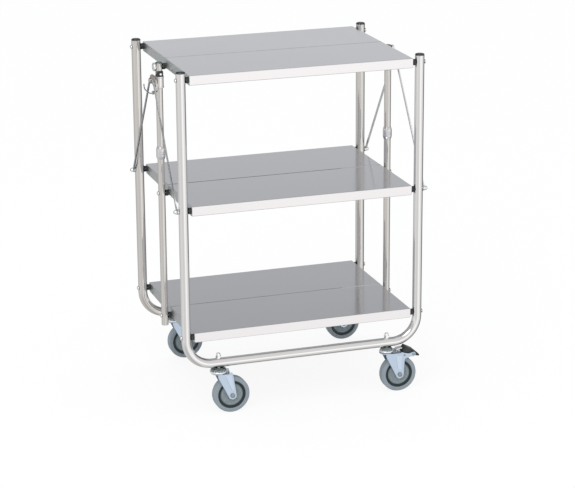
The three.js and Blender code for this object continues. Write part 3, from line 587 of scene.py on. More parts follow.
for level, height in shelfHeights.items():
    for end, side in ends.items():
        for row, back in rows.items():
            start = halfPosts + frameTube["radius"] + gap
            extra = []
            head = domedHead(start, start + pivot["headHeight"])
            if level == "middle":
                head = domedHead(stayOuter + gap, outerReach)
                extra = [washerPart(start)]
            addPivot(f"{row}{end.title()}{level.title()}", f"{row}_{end}_pivot_bolt_{level}", f"{row}_frame",
                     shelfSheet["sheet"], head, extra,
                     at(0, back * halfFrames, height - pivot["outerDrop"]) @ endTurn(side))
        start = centreX + centreTube["radius"] + gap
        head = knobHead(start) if level == "top" else domedHead(start, start + pivot["headHeight"])
        addPivot(f"centre{end.title()}{level.title()}", f"centre_{end}_pivot_bolt_{level}", "centre_posts",
                 shelfSheet["sheet"] + gap + shelfSheet["ear"], head, [],
                 at(0, 0, height - pivot["innerDrop"]) @ endTurn(side))

print("centre posts, collars and latch")

# endShape gives how far each point lies inside the radius and from the end. screwShape gives shares of the
# screw's radius and how far below its top each point lies
collar = {
    "radius": 12.4, "length": 34, "low": 655.6, "screwRadius": 3.6, "screwHeight": 2.8, "screwSink": 2.4,
    "endShape": ((2.3, 0), (1.7, 0.6), (1.2, 2.4), (1.3, 3.2), (0.7, 3.8), (0.1, 6.4), (0, 9)),
    "screwShape": ((1, 0.9), (0.86, 0.3), (0.6, 0), (0.45, 0, flats), (0.43, 1.4, flats), (0, 1.5)),
}
latch = {
    "low": 884.5, "height": 12.4, "width": 17, "depth": 6, "bend": 3, "recess": 4.3, "backShare": 0.2,
    "sideSteps": 10, "bendSteps": 6, "edge": 0.4,
}
# shape gives how far each point lies inside the button's radius and below its face
button = {
    "radius": 3.4, "out": 4.5, "back": 0.9,
    "shape": ((0, 1), (0.4, 0.2), (0.9, 0), (1.3, 0.3), (1.6, 1.2), (3.4, 1.5)),
}


def postProfile():
    low = shelfHeights["bottom"] - pivot["innerDrop"] - centreTube["below"]
    high = shelfHeights["top"] - pivot["innerDrop"] + centreTube["above"]
    radius, bore, edge = centreTube["radius"], centreTube["bore"], centreTube["edge"]
    floor = low + centreTube["depth"]
    return [(0, floor), (bore, floor), (bore, low + edge), (bore + edge, low), (radius - edge, low),
            (radius, low + edge), (radius, high - edge), (radius - edge, high), (0, high)]


def plugProfile():
    high = shelfHeights["top"] - pivot["innerDrop"] + centreTube["above"] + centreTube["plugRise"]
    plug = insetPoints(centreTube["radius"], high, centreTube["plugShape"])
    return [(0, plug[0][1]), *plug, (0, high)]


def collarProfile():
    # a barrel with a step near each end
    high = collar["low"] + collar["length"]
    upper = [(centreTube["radius"] + gap, high), *insetPoints(collar["radius"], high, collar["endShape"])]
    return closedLoop(mirrored(upper, collar["low"] + collar["length"] / 2))


def screwPart(side):
    reach = collar["radius"] + collar["screwHeight"]
    radius, foot = collar["screwRadius"], collar["radius"] - collar["screwSink"]
    profile = [(0, foot), (radius, foot)]
    profile += [(radius * share, reach - drop, *rest) for share, drop, *rest in collar["screwShape"]]
    middle = collar["low"] + collar["length"] / 2
    return turnedPart(profile, "screw", at(0, 0, middle) @ endTurn(side) @ alongY)


def latchPart():
    # a block on the front of the post, with rounded outer edges and a round recess for the button
    half, rise, bend = latch["width"] / 2, latch["height"] / 2, latch["bend"]
    face, middle = centreTube["radius"] + latch["depth"], latch["low"] + latch["height"] / 2
    steps = [2 * i / latch["sideSteps"] - 1 for i in range(latch["sideSteps"])]
    square = [(1, v) for v in steps] + [(-u, 1) for u in steps]
    square += [(-1, -v) for v in steps] + [(u, -1) for u in steps]

    def roundRing(radius, y):
        angles = [math.atan2(v * rise, u * (half - bend)) for u, v in square]
        return [(radius * math.cos(angle), y, middle + radius * math.sin(angle)) for angle in angles]

    def squareRing(width, y):
        return [(u * width, y, middle + v * rise) for u, v in square]

    bore = button["radius"] + gap
    rings = [roundRing(bore, face - latch["recess"]), roundRing(bore, face)]
    for x, y in arcPoints((half - bend, face - bend), bend, 90, 0, latch["bendSteps"]):
        rings.append(squareRing(x, y))
    rings.append(squareRing(half, centreTube["radius"] * latch["backShare"]))
    return ringedPart(rings)


def buttonPart():
    face = centreTube["radius"] + latch["depth"]
    foot = face - button["back"]
    front = insetPoints(button["radius"], face + button["out"], button["shape"])
    return turnedPart([(0, foot), (button["radius"], foot), *front], place=alongY)


for end, side in ends.items():
    place = endTurn(side) @ at(centreX, 0, 0)
    tie = ("centre_posts", [f"centre_post_{end}"], "polished_steel")
    # the centre posts wear the darker copy of the tube's colour: painted shade
    addPiece(f"centrePost{end.title()}", [turnedPart(postProfile())], "shadedWarmTube", tie, place=place)
    addPiece(f"postPlug{end.title()}", [turnedPart(plugProfile())], "darkPlate", tie, place=place)
    addPiece(f"stopCollar{end.title()}", [turnedPart(collarProfile()), screwPart(-1), screwPart(1)],
             "collarSteel", ("centre_posts", [f"stop_collar_{end}"], "polished_steel"), place=place)

latchPlace = endTurn(-1) @ at(centreX, 0, 0)
addPiece("latchHousing", [latchPart()], "blackPlastic",
         ("centre_posts", ["centre_post_left"], "polished_steel"), latch["edge"], latchPlace)
addPiece("releaseButton", [buttonPart()], "brightPlate",
         ("release_button_body", ["release_button"], "polished_steel"),
         place=latchPlace @ at(0, 0, latch["low"] + latch["height"] / 2))

print("shelves")

pan = {
    "lead": 8, "lip": 26, "bend": 1.7, "bendSteps": 5, "seamBend": 2.6, "hem": 11, "seamGap": 1.2,
    "innerLipSpare": 1, "notch": 14, "notchTop": 9, "earRadius": 7, "earTab": 30, "earRelief": 1.3,
    "earSteps": 16, "reliefSteps": 12, "startAngle": 95, "foldAngle": 70,
    "cornerRelief": 2.3, "cornerStep": 1, "tabEdge": 0.4,
    "facing": 0.8,  # a flange's or lip's normal points to its side by more than this
    # the looks of deck, flanges and lips, each with that of its inside. Lips, flanges and insides have
    # lighter and darker copies of the sheet's colour: painted light and shade
    "looks": ("satinSheet", "shadedSheetInside", "shadedFlangeSheet", "shadedSheetInside", "litLipSheet", "shadedSheetInside"),
}
deckLook, flangeLook, lipLook = 0, 2, 4
foldSlope = 90 - pan["foldAngle"]  # of the flanges' slanted ends
pinZ = pivot["outerDrop"] - pivot["innerDrop"]
panTop, panOuter, panInner = pivot["outerDrop"], -pan["lead"], halfFrames - pan["seamGap"] / 2
panBottom, panReach = panTop - pan["lip"], halfShelf - pan["bend"]
foldStart, foldEnd = panOuter + pan["bend"], panInner - pan["seamBend"]
hemStart, notchZ = panBottom + pan["bend"], pinZ + pan["notchTop"]


def earOutline(row):
    # from the inner lip round to the slanted edge: the front pan has an ear about the centre pin, and the
    # rear pan a hollow that this ear turns in
    radius, first, last, steps = pan["earRadius"], pan["startAngle"], foldSlope - 180, pan["earSteps"]
    if row == "rear":
        radius, last, steps = radius + pan["earRelief"], 360 + last, pan["reliefSteps"]
    return arcPoints((halfFrames, pinZ), radius, first, last, steps)


def tabParts():
    # the rear pan's own ear, on a tab inside its flange
    radius, tabEnd = pan["earRadius"], halfFrames - pan["earTab"]
    outline = arcPoints((halfFrames, pinZ), radius, 90, foldSlope - 180, pan["earSteps"])
    outline += [(tabEnd, pinZ - radius * math.sin(math.radians(foldSlope))), (tabEnd, pinZ + radius)]
    near = halfShelf - shelfSheet["sheet"] - gap
    return slabPair(outline, near, near - shelfSheet["ear"], "X")


# a face's look goes by the way it faces, so lips get a lighter copy and flanges a darker copy of the sheet's
# colour: painted light and shade
def lookOf(normal):
    if abs(normal.x) > pan["facing"]:
        return flangeLook
    return lipLook if abs(normal.y) > pan["facing"] else deckLook


def addVerts(shape, places):
    return [shape.verts.new(place) for place in places]


def addFace(shape, corners):
    # leaves out a corner that is the same as the one before it
    shape.faces.new([corner for i, corner in enumerate(corners) if corner is not corners[i - 1]])


def planLine(radius):
    # round the tray from one end of the seam to the other, outside the deck's flat face by radius
    left = arcPoints((-panReach, foldStart), radius, 180, 270, pan["bendSteps"])
    right = arcPoints((panReach, foldStart), radius, 270, 360, pan["bendSteps"])
    return [(-panReach - radius, foldEnd), *left, *right, (panReach + radius, foldEnd)]


def addDeck(shape):
    # the deck and its rounded folds, of which the lower edge is given back with the deck's corners
    steps, bend = pan["bendSteps"], pan["bend"]
    plan = [(-panReach, foldEnd), (-panReach, foldStart), (panReach, foldStart), (panReach, foldEnd)]
    deck = addVerts(shape, [(x, y, panTop) for x, y in plan])
    addFace(shape, deck)
    rim = [deck[0], *[deck[1]] * (steps + 1), *[deck[2]] * (steps + 1), deck[3]]
    for step in range(1, steps + 1):
        angle = math.radians(90 * step / steps)
        drop = bend * (1 - math.cos(angle))
        lower = addVerts(shape, [(x, y, panTop - drop) for x, y in planLine(bend * math.sin(angle))])
        for i in range(len(rim) - 1):
            addFace(shape, [rim[i], rim[i + 1], lower[i + 1], lower[i]])
        rim = lower
    return deck, rim


def addSides(shape, row, rim):
    # the outer lip with its round corners, and the two flanges. The lip's lower edge is given back
    foot = addVerts(shape, [(x, y, hemStart) for x, y in planLine(pan["bend"])[1:-1]])
    for i in range(len(foot) - 1):
        addFace(shape, [rim[i + 1], rim[i + 2], foot[i + 1], foot[i]])
    relief = pan["cornerRelief"]
    lowerEnd = halfFrames - (pinZ - panBottom) / math.tan(math.radians(foldSlope))
    line = [(foldEnd, panTop - relief), (panInner, panTop - relief - pan["seamBend"]), (panInner, notchZ),
            *earOutline(row), (lowerEnd, panBottom), (panOuter + relief + pan["cornerStep"], panBottom),
            (panOuter + relief, hemStart)]
    for side, near in ((-1, [foot[0], rim[1], rim[0]]), (1, [foot[-1], rim[-2], rim[-1]])):
        addFace(shape, near + addVerts(shape, [(side * halfShelf, y, z) for y, z in line]))
    return foot


def addLips(shape, deck, foot):
    # the hem under the outer lip, and the inner lip with its cut-away lower corners
    steps, seamBend = pan["bendSteps"], pan["seamBend"]
    hem = arcPoints((foldStart, hemStart), pan["bend"], 180, 270, steps)[1:]
    hem.append((panOuter + pan["hem"], panBottom))
    lip = arcPoints((foldEnd, panTop - seamBend), seamBend, 90, 0, steps)[1:]
    for before, line in ((foot[steps:steps + 2], hem), ([deck[0], deck[3]], lip)):
        for y, z in line:
            after = addVerts(shape, [(-panReach, y, z), (panReach, y, z)])
            addFace(shape, [*before, after[1], after[0]])
            before = after
    notchX, low = halfShelf - pan["notch"], pinZ + pan["innerLipSpare"]
    below = [(panReach, notchZ), (notchX, notchZ), (notchX, low), (-notchX, low), (-notchX, notchZ),
             (-panReach, notchZ)]
    addFace(shape, before + addVerts(shape, [(x, panInner, z) for x, z in below]))


def addPan(name, node, body, row, height):
    # one bent sheet, drawn about its outer pivot: deck, outer lip and hem, two end flanges and inner lip
    shape = bmesh.new()
    deck, rim = addDeck(shape)
    foot = addSides(shape, row, rim)
    addLips(shape, deck, foot)
    bmesh.ops.recalc_face_normals(shape, faces=shape.faces)
    shape.faces.ensure_lookup_table()
    if shape.faces[0].normal.z < 0:
        bmesh.ops.reverse_faces(shape, faces=shape.faces)
    for face in shape.faces:
        face.material_index = lookOf(face.normal)
    back = rows[row]
    place = at(0, back * halfFrames, height - pivot["outerDrop"]) @ endTurn(-back)
    for vert in shape.verts:
        vert.co = place @ vert.co * mm
    tie = (body, [node], "sheet_steel")
    finishPiece(name, shape, pan["looks"], tie, thickness=shelfSheet["sheet"])
    if row == "rear":
        addPiece(f"{name}Ears", tabParts(), "shadedFlangeSheet", tie, pan["tabEdge"], place)


for level, height in shelfHeights.items():
    for row in rows:
        addPan(f"{row}Pan{level.title()}", f"{row}_pan_{level}", f"{row}_pan_{level}_body", row, height)

print("sliders and stays")

# footShape and headShape give how far each point lies inside the sleeve's radius and below its end
slider = {
    "radius": 13, "length": 32, "top": 883, "runningFit": 0.4,
    "footShape": ((0.8, 0), (0, -0.8), (0, -3.4), (0.6, -4)),
    "headShape": ((0.6, 5), (0, 4.4), (0, 0.8), (0.8, 0)),
    "plate": 3.4, "plateRise": 19.4, "plateSpare": 9, "opening": 5, "openFrom": 15, "archSteps": (18, 14, 10),
    "armWidth": 16, "armDepth": 10, "armWall": 1.8, "armSlot": 4.5, "armSink": 2, "webRise": 1,
    "pinRadius": 4, "pinEdge": 0.8, "pinReach": 5.2, "pinSink": 1, "edge": 0.5,
}
# rivetShape gives shares of the rivet's radius and heights above the bar
stay = {
    "pinOffset": 20, "pinHeight": 868, "length": 361.703, "lean": 34.525, "eyeSteps": 20, "edge": 0.5,
    "rivetRadius": 5, "rivetHeight": 2, "rivetNeck": 0.6, "rivetSlope": 0.4,
    "rivetShape": ((0.94, 0.7), (0.7, 1.7), (0.35, 2), (0, 2)),
    # the left stays wear the darker copy of the same steel: painted shade
    "finishes": {"left": "shadedStayPlate", "right": "paleStayPlate"},
}
hook = {
    "wire": 1.5, "sides": 16, "steps": 8, "eyeRadius": 5, "eye": 3, "eyeEdge": 0.5, "studRadius": 2.5,
    "studHead": 1.6, "studFoot": (0.3, 0.4), "studTop": 0.6, "along": 26, "drop": 10.5, "reach": 98, "tip": 3,
    "sagShape": ((0.3, 0.8), (0.65, 1), (0.93, 0.8)),
}


def sleevePart():
    bore, radius, high = centreTube["radius"] + slider["runningFit"], slider["radius"], slider["top"]
    low = high - slider["length"]
    return turnedPart(closedLoop([
        (bore, low), *insetPoints(radius, low, slider["footShape"]),
        *insetPoints(radius, high, slider["headShape"]), (bore, high),
    ]))


def archOutline():
    offset, spare, height = stay["pinOffset"], slider["plateSpare"], stay["pinHeight"]
    steps, footSteps, openSteps = slider["archSteps"]
    low, high = slider["openFrom"], 180 - slider["openFrom"]
    outline = arcPoints((0, height), offset + spare, 0, 180, steps, slider["plateRise"])[:-1]
    outline += arcPoints((-offset, height), spare, 180, 360, footSteps)
    outline += arcPoints((0, height), offset - spare, high, low, openSteps, slider["opening"])
    return outline + arcPoints((offset, height), spare, 180, 360, footSteps)[:-1]


def armParts(start, slotStart, end):
    # a cover and a web with two walls, which begin further out and leave a slot beside the sleeve
    half, wall = slider["armWidth"] / 2, slider["armWall"]
    top, low = slider["top"] - gap, slider["top"] - slider["armDepth"]
    webLow = low + slider["webRise"]
    cover = blockPart(start, end, -half, half, top - wall, top)
    web = blockPart(start, end, -half + wall, half - wall, webLow, webLow + wall)
    walls = [blockPart(slotStart, end, y - wall / 2, y + wall / 2, low, top - wall / 2)
             for y in (-half + wall / 2, half - wall / 2)]
    return [cover, web, *walls]


def archParts():
    # an arched plate outside the sleeve, carried by a slotted arm, with the two pins that the stays meet
    radius, outer, edge = slider["radius"], stayInner - gap - centreX, slider["pinEdge"]
    plate = slabPart(archOutline(), outer - slider["plate"], outer, "X")
    arm = armParts(radius - slider["armSink"], radius + slider["armSlot"], outer - slider["plate"] / 2)
    tip, foot, pin = outer - slider["pinReach"], outer - slider["pinSink"], slider["pinRadius"]
    profile = [(0, tip), (pin - edge, tip), (pin, tip + edge), (pin, foot), (0, foot)]
    spots = [at(0, side * stay["pinOffset"], stay["pinHeight"]) @ alongX for side in (-1, 1)]
    return [plate, *arm, *[turnedPart(profile, "pin", spot) for spot in spots]]


def stayParts(withStud):
    # a flat bar between two round eyes, with the rivet of the upper eye, and a stud for the hook if asked
    eye, steps = stayBar["eye"], stay["eyeSteps"]
    neck = math.degrees(math.asin(stayBar["width"] / 2 / eye))
    length, radius = stay["length"], stay["rivetRadius"]
    low, high = stayInner, stayOuter
    foot, shank = low + gap, radius - stay["rivetNeck"]
    outline = arcPoints((0, length), eye, neck - 90, 270 - neck, steps)
    outline += arcPoints((0, 0), eye, 90 + neck, 450 - neck, steps)
    rivet = [(0, foot), (shank, foot), (shank, high - stay["rivetSlope"]), (radius, high)]
    rivet += [(radius * share, high + up) for share, up in stay["rivetShape"]]
    parts = [slabPart(outline, low, high, "X"), turnedPart(rivet, "screw", at(0, 0, length) @ alongX)]
    if withStud:
        headLow, head, shank = outerReach - hook["studHead"], hook["eyeRadius"], hook["studRadius"]
        across, along = hook["studFoot"]
        stud = [(0, foot), (shank, foot), (shank, headLow), (head - across, headLow), (head, headLow + along),
                (head - hook["studTop"], outerReach), (0, outerReach)]
        parts.append(turnedPart(stud, "screw", at(0, 0, length - hook["along"]) @ alongX))
    return parts


def smoothPath(knots, steps):
    # a smooth curve through all the knots
    path, line = [], [Vector(knot) for knot in (knots[0], *knots, knots[-1])]
    for before, first, second, after in zip(line, line[1:], line[2:], line[3:]):
        square = 2 * before - 5 * first + 4 * second - after
        cube = 3 * first - before - 3 * second + after
        for t in (step / steps for step in range(steps)):
            path.append((2 * first + (second - before) * t + square * t ** 2 + cube * t ** 3) / 2)
    return path + [line[-1]]


def hookParts():
    # an eye, and a wire that sags from it and turns up at the tip
    low, reach = stayOuter + stay["rivetHeight"] + gap, hook["reach"]
    middle = low + hook["eye"] / 2
    ring = softRing(hook["studRadius"] + gap, hook["eyeRadius"], low, low + hook["eye"], hook["eyeEdge"])
    sag = [(-reach * along, -hook["drop"] * down) for along, down in hook["sagShape"]]
    knots = [(-hook["eyeRadius"] + hook["wire"], 0), *sag, (-reach, hook["tip"])]
    path = [(middle, *spot) for spot in smoothPath(knots, hook["steps"])]
    wire = sweptPart(path, roundSection(hook["wire"], hook["sides"]), (1, 0, 0))
    return [turnedPart(ring, "screw", alongX), wire]


for end, side in ends.items():
    place = endTurn(side) @ at(centreX, 0, 0)
    tie = (f"slider_{end}_body", [f"slider_{end}"], "slider_steel")
    addPiece(f"slider{end.title()}", [sleevePart()], "polishedTube", tie, place=place)
    addPiece(f"sliderArch{end.title()}", archParts(), "warmPlate", tie, slider["edge"], place)

for row, back in rows.items():
    for end, side in ends.items():
        lean = Matrix.Rotation(back * math.radians(stay["lean"]), 4, "X")
        foot = at(0, back * halfFrames, shelfHeights["middle"] - pivot["outerDrop"]) @ lean
        withHook = row == "front" and end == "left"
        addPiece(f"{row}Stay{end.title()}", stayParts(withHook), stay["finishes"][end],
                 (f"{row}_stay_{end}_body", [f"{row}_stay_{end}"], "polished_steel"), stay["edge"],
                 foot @ endTurn(side))
        if withHook:
            eye = foot @ at(0, 0, stay["length"] - hook["along"]) @ lean.inverted() @ endTurn(side)
            addPiece("stayHook", hookParts(), "darkPlate",
                     ("stay_hook_body", ["stay_hook"], "polished_steel"), place=eye)

print("casters")

# tyreShape and rimShape give how far each point lies inside the part's radius and its widest face. In the
# arcs below, the numbers are first angle, last angle and steps
wheel = {
    "radius": 50, "width": 25, "tread": 11.5, "ringDepth": 7.2, "rimWidth": 22, "discFace": 8.8,
    "tyreShape": ((11.5, 1), (10.5, 0.2), (9.5, 0), (3.6, 0), (1.62, 0.7), (0.504, 1.9), (0, 3.6)),
    "rimShape": ((7.2, 3.4), (6.6, 1.7), (5, 1.3), (2.6, 0.9), (1.4, 0.2), (0.5, 0), (0, 0.5)),
    "bore": 4.4, "hubRadius": 9.5, "hubReach": 15.5, "hubEdge": 0.8, "hubDraft": 0.9, "discSpare": 0.02,
    "ridges": (12.6, 16, 19.4, 22.8, 26.2), "ridgeHeight": 1.1, "ridgeSink": 0.6, "ridgeFoot": 0.9,
    "ridgeCrest": 0.5,
}
# topShape gives how far each point lies inside the race's radius and below its top. nutShape gives shares of
# the nut's radius and heights above its foot, and domeShape shares and how far below its top
caster = {
    "trail": 33, "crownTop": 114.7, "raceRadius": 24, "brakedRaceRadius": 20, "raceHeight": 12,
    "kingpin": 6.5, "kingpinHead": 9, "kingpinDepth": 4.3, "kingpinEdge": (1.4, 1.3), "roll": 2.9,
    "rollRise": 3.1, "rollStart": 3, "rollArc": (-80, 130, 12), "bed": 4.4, "bedEdge": 6, "neck": 13,
    "topShape": ((5.6, 5.1), (3.6, 5.4), (3, 4.7), (3.3, 2.4), (5, 0.9), (7.4, 0.3)),
    "balls": 14, "ballRadius": 2.3, "ballArc": (-60, 60, 4), "ballInset": 5.6, "ballRise": 6.4,
    "stem": 5, "stemFoot": 3, "nutRadius": 7.4, "nutHeight": 14.6,
    "nutShape": ((0.92, 0, flats), (1, 0.7, flats), (1, 6.4, flats), (0.9, 7.2, flats), (0.8, 7.4)),
    "domeShape": ((0.8, 4.6), (0.72, 2.4), (0.52, 0.8), (0.25, 0.1)),
}
fork = {
    "legIn": 16.1, "sheet": 3, "hubEnd": 11.5, "front": 7, "rear": 36, "topRear": 33, "waist": 10,
    "crownRear": 25, "crownRadius": 20, "crownSteps": 28, "hubArc": (210, 360, 18), "edge": 0.7,
    "ribRise": 0.8, "ribSink": 1,
    "rib": ((13, 108), (16, 110), (28, 110), (31, 108), (39, 68), (38, 64), (33, 63), (30, 66)),
    "axle": 4, "axleHead": 7, "axleReach": 3, "axleEdge": 0.7, "axleFace": 0.84, "dimple": (0.46, 0.42),
    "dimpleDepth": 1,
}
brake = {
    "reach": 46, "height": 105, "pin": 2.6, "pinEdge": (0.9, 0.8), "hub": 5, "hubArc": (180, 315, 10),
    "heel": (-2.5, 12), "top": (7, 22), "bow": (26, 12), "tip": (46, -6), "toe": (43.5, -8.5),
    "belly": (22, -3.4), "edge": 0.8, "sideGap": 1,
    "cheekStep": 0.8, "cheek": 1.6, "cheekMiddle": (14, 4), "cheekShrink": 0.16,
    "ribs": 6, "ribRise": 0.9, "ribSink": 0.6, "ribWidth": 1.6, "ribTaper": 0.7, "ribEnd": 2,
}
brakedLeg = {
    "rear": 47, "waist": 21, "waistDrop": 4, "waistOut": 1.4, "farReach": 72.6, "lug": 6.4, "lugSteps": 14,
    "flare": 9, "dip": 3.4, "dipHalf": 4, "dipEdge": 0.6, "crownRear": 38,
    "rivet": 3.6, "rivetOut": 2, "rivetSink": 1.5, "rivetEdge": 0.6,
    "rib": ((21, 104), (24, 106), (36, 106), (39, 104), (39, 66), (37, 63), (30, 63), (27, 66)),
}
# barrelShape gives how far each point lies inside the barrel's radius and from its end
tongue = {
    "webAt": 26.5, "sheet": 2.2, "halfWidth": 9, "rise": 9.4, "reach": 43, "fold": 5, "bend": 3,
    "bendEnd": 100, "bendSteps": 6, "sink": 1, "tipSlope": 0.4, "edge": 0.4,
    "barrelAt": 33, "barrel": 3.2, "barrelReach": 12, "barrelSink": 0.3,
    "barrelShape": ((0.6, 0), (0, 0.6), (0, 3), (0.6, 3.4), (0.6, 4.4), (0, 4.8)),
}
legOut = fork["legIn"] + fork["sheet"]


def tyreProfile():
    return closedLoop(mirrored(insetPoints(wheel["radius"], wheel["width"] / 2, wheel["tyreShape"])))


def ringProfile():
    # the dark rim between tyre and disc, dished towards the disc
    outer = wheel["radius"] - wheel["tread"] - gap
    return closedLoop(mirrored(insetPoints(outer, wheel["rimWidth"] / 2, wheel["rimShape"])))


def discProfile():
    # the disc with its hub, the same on both faces
    outer = wheel["radius"] - wheel["tread"] - gap - wheel["ringDepth"]
    hub, disc = wheel["hubRadius"], wheel["discFace"]
    return closedLoop(mirrored([
        *softEnd(wheel["bore"], hub, wheel["hubReach"], wheel["hubEdge"]), (hub + wheel["hubDraft"], disc),
        (outer - wheel["discSpare"], disc),
    ]))


def ridgeParts():
    # low concentric ridges on both faces of the disc, in a lighter copy of the disc's plastic: painted light
    # on the ridges
    ridges = []
    foot, crest = wheel["discFace"] - wheel["ridgeSink"], wheel["discFace"] + wheel["ridgeHeight"]
    for radius in wheel["ridges"]:
        line = [(radius - wheel["ridgeFoot"], foot), (radius - wheel["ridgeCrest"], crest),
                (radius + wheel["ridgeCrest"], crest), (radius + wheel["ridgeFoot"], foot)]
        for side in (-1, 1):
            profile = closedLoop([(across, side * along) for across, along in line])
            ridges.append(turnedPart(profile[::side]))
    return ridges


def raceRingProfile(radius):
    # kingpin, and the lower race with its rolled rim
    low, plateLow = caster["crownTop"] + gap, caster["crownTop"] - fork["sheet"]
    head, pin, foot = caster["kingpinHead"], caster["kingpin"], plateLow - caster["kingpinDepth"]
    across, along = caster["kingpinEdge"]
    roll = arcPoints((radius - caster["roll"], low + caster["rollRise"]), caster["roll"], *caster["rollArc"])
    return [(0, foot), (head - across, foot), (head, foot + along), (head, plateLow - gap),
            (pin, plateLow - gap), (pin, low), (radius - caster["rollStart"], low), *roll,
            (radius - caster["bedEdge"], low + caster["bed"]), (0, low + caster["bed"])]


def raceTopProfile(radius):
    top = caster["crownTop"] + gap + caster["raceHeight"]
    rail = trolley["railHeight"] - frameTube["radius"] - gap
    race = insetPoints(radius, top, caster["topShape"])
    return [(0, race[0][1]), *race, (caster["neck"], top), (caster["neck"], rail), (0, rail)]


def stemProfile():
    # the stem through the rail, and its cap nut
    foot = caster["crownTop"] + gap + caster["stemFoot"]
    stem, nut = caster["stem"], caster["nutRadius"]
    nutLow = trolley["railHeight"] + frameTube["radius"] + gap
    nutTop = nutLow + caster["nutHeight"]
    return [(0, foot), (stem, foot), (stem, nutLow),
            *[(nut * share, nutLow + up, *rest) for share, up, *rest in caster["nutShape"]],
            *[(nut * share, nutTop - drop) for share, drop in caster["domeShape"]], (0, nutTop)]


def ballParts(radius):
    size, reach = caster["ballRadius"], radius - caster["ballInset"]
    rise = caster["crownTop"] + gap + caster["ballRise"]
    arc = arcPoints((0, 0), size, *caster["ballArc"])
    ball = turnedPart([(0, -size), *arc, (0, size)], "ball")
    angles = [turn * (i + 0.5) / caster["balls"] for i in range(caster["balls"])]
    return [moved(ball, at(reach * math.cos(angle), reach * math.sin(angle), rise)) for angle in angles]


def legOutline(braked):
    top, waist = caster["crownTop"], caster["crownTop"] - fork["waist"]
    outline = [(-fork["front"], top), (-fork["front"], waist)]
    outline += arcPoints((caster["trail"], wheel["radius"]), fork["hubEnd"], *fork["hubArc"])
    if not braked:
        return outline + [(fork["rear"], waist), (fork["topRear"], top)]
    pinX, pinHeight, far, lug = brake["reach"], brake["height"], brakedLeg["farReach"], brakedLeg["lug"]
    rear, waist = brakedLeg["rear"], top - brakedLeg["waist"]
    outline += [(rear, waist - brakedLeg["waistDrop"]), (rear + brakedLeg["waistOut"], waist),
                (far - brakedLeg["flare"], pinHeight - lug)]
    outline += arcPoints((far, pinHeight), lug, -90, 90, brakedLeg["lugSteps"])
    middle, half, dip = (far + pinX) / 2, brakedLeg["dipHalf"], pinHeight + brakedLeg["dip"]
    shoulder = dip + brakedLeg["dipEdge"]
    return outline + [(middle + half, shoulder), (middle, dip), (middle - half, shoulder),
                      (pinX, pinHeight + lug), (brakedLeg["crownRear"], top)]


def forkParts(braked):
    top, leg = caster["crownTop"], brakedLeg if braked else fork
    crownTurn = math.degrees(math.asin(legOut / fork["crownRadius"]))
    crown = arcPoints((0, 0), fork["crownRadius"], crownTurn, 360 - crownTurn, fork["crownSteps"])
    crown += [(leg["crownRear"], -legOut), (leg["crownRear"], legOut)]
    return [slabPart(crown, top - fork["sheet"], top, "Z"),
            *slabPair(legOutline(braked), fork["legIn"], legOut, "Y")]


def ribParts(braked):
    # the pressed band that runs down the outside of each leg, in a lighter copy of the fork's zinc colour: a
    # painted highlight
    leg = brakedLeg if braked else fork
    return slabPair(leg["rib"], legOut - fork["ribSink"], legOut + fork["ribRise"], "Y")


def axlePart():
    reach, head, face = legOut + fork["axleReach"], fork["axleHead"], legOut - gap
    rim, floor = fork["dimple"]
    return turnedPart(mirrored([
        (0, reach - fork["dimpleDepth"]), (head * floor, reach - fork["dimpleDepth"]), (head * rim, reach),
        (head * fork["axleFace"], reach, flats), (head, reach - fork["axleEdge"], flats), (head, face, flats),
        (fork["axle"], face),
    ]), place=at(caster["trail"], 0, wheel["radius"]) @ alongY)


def brakeParts():
    # the pedal's pin, and the heads of the rivets at the arms' far ends
    reach, radius, edge = legOut + brakedLeg["rivetOut"], brakedLeg["rivet"], brakedLeg["rivetEdge"]
    pin = mirrored(softEnd(0, brake["pin"], reach, *brake["pinEdge"]))
    spots = [at(spot, 0, brake["height"]) @ alongY for spot in (brake["reach"], brakedLeg["farReach"])]
    parts = [turnedPart(pin, "pin", spots[0])]
    for side in (-1, 1):
        low, high = sorted((side * (legOut - brakedLeg["rivetSink"]), side * reach))
        head = mirrored(softEnd(0, radius, high, edge), (low + high) / 2)
        parts.append(turnedPart(head, "pin", spots[1]))
    return parts


def tongueParts():
    # a bent tongue behind the race, that rises towards the pedal
    top, foot = caster["crownTop"] + tongue["rise"], caster["crownTop"] - tongue["sink"]
    half, sheet, start, bend = tongue["halfWidth"], tongue["sheet"], tongue["webAt"], tongue["bend"]
    fold, bendEnd, steps = top - tongue["fold"], tongue["bendEnd"], tongue["bendSteps"]
    line = [(start, foot), (start, fold)] + arcPoints((start + bend, fold), bend, 180, bendEnd, steps)
    line += [(tongue["reach"] - tongue["tipSlope"], top), (tongue["reach"], top - sheet)]
    line += arcPoints((start + bend, fold), bend - sheet, bendEnd, 180, steps) + [(start + sheet, foot)]
    return [slabPart(line, -half, half, "Y")]


def barrelPart():
    # the spring's barrel across the crown, with a groove near each end
    radius, reach = tongue["barrel"], tongue["barrelReach"]
    profile = mirrored([(0, reach), *insetPoints(radius, reach, tongue["barrelShape"])])
    height = caster["crownTop"] + radius - tongue["barrelSink"]
    return turnedPart(profile, "pin", at(tongue["barrelAt"], 0, height) @ alongY)


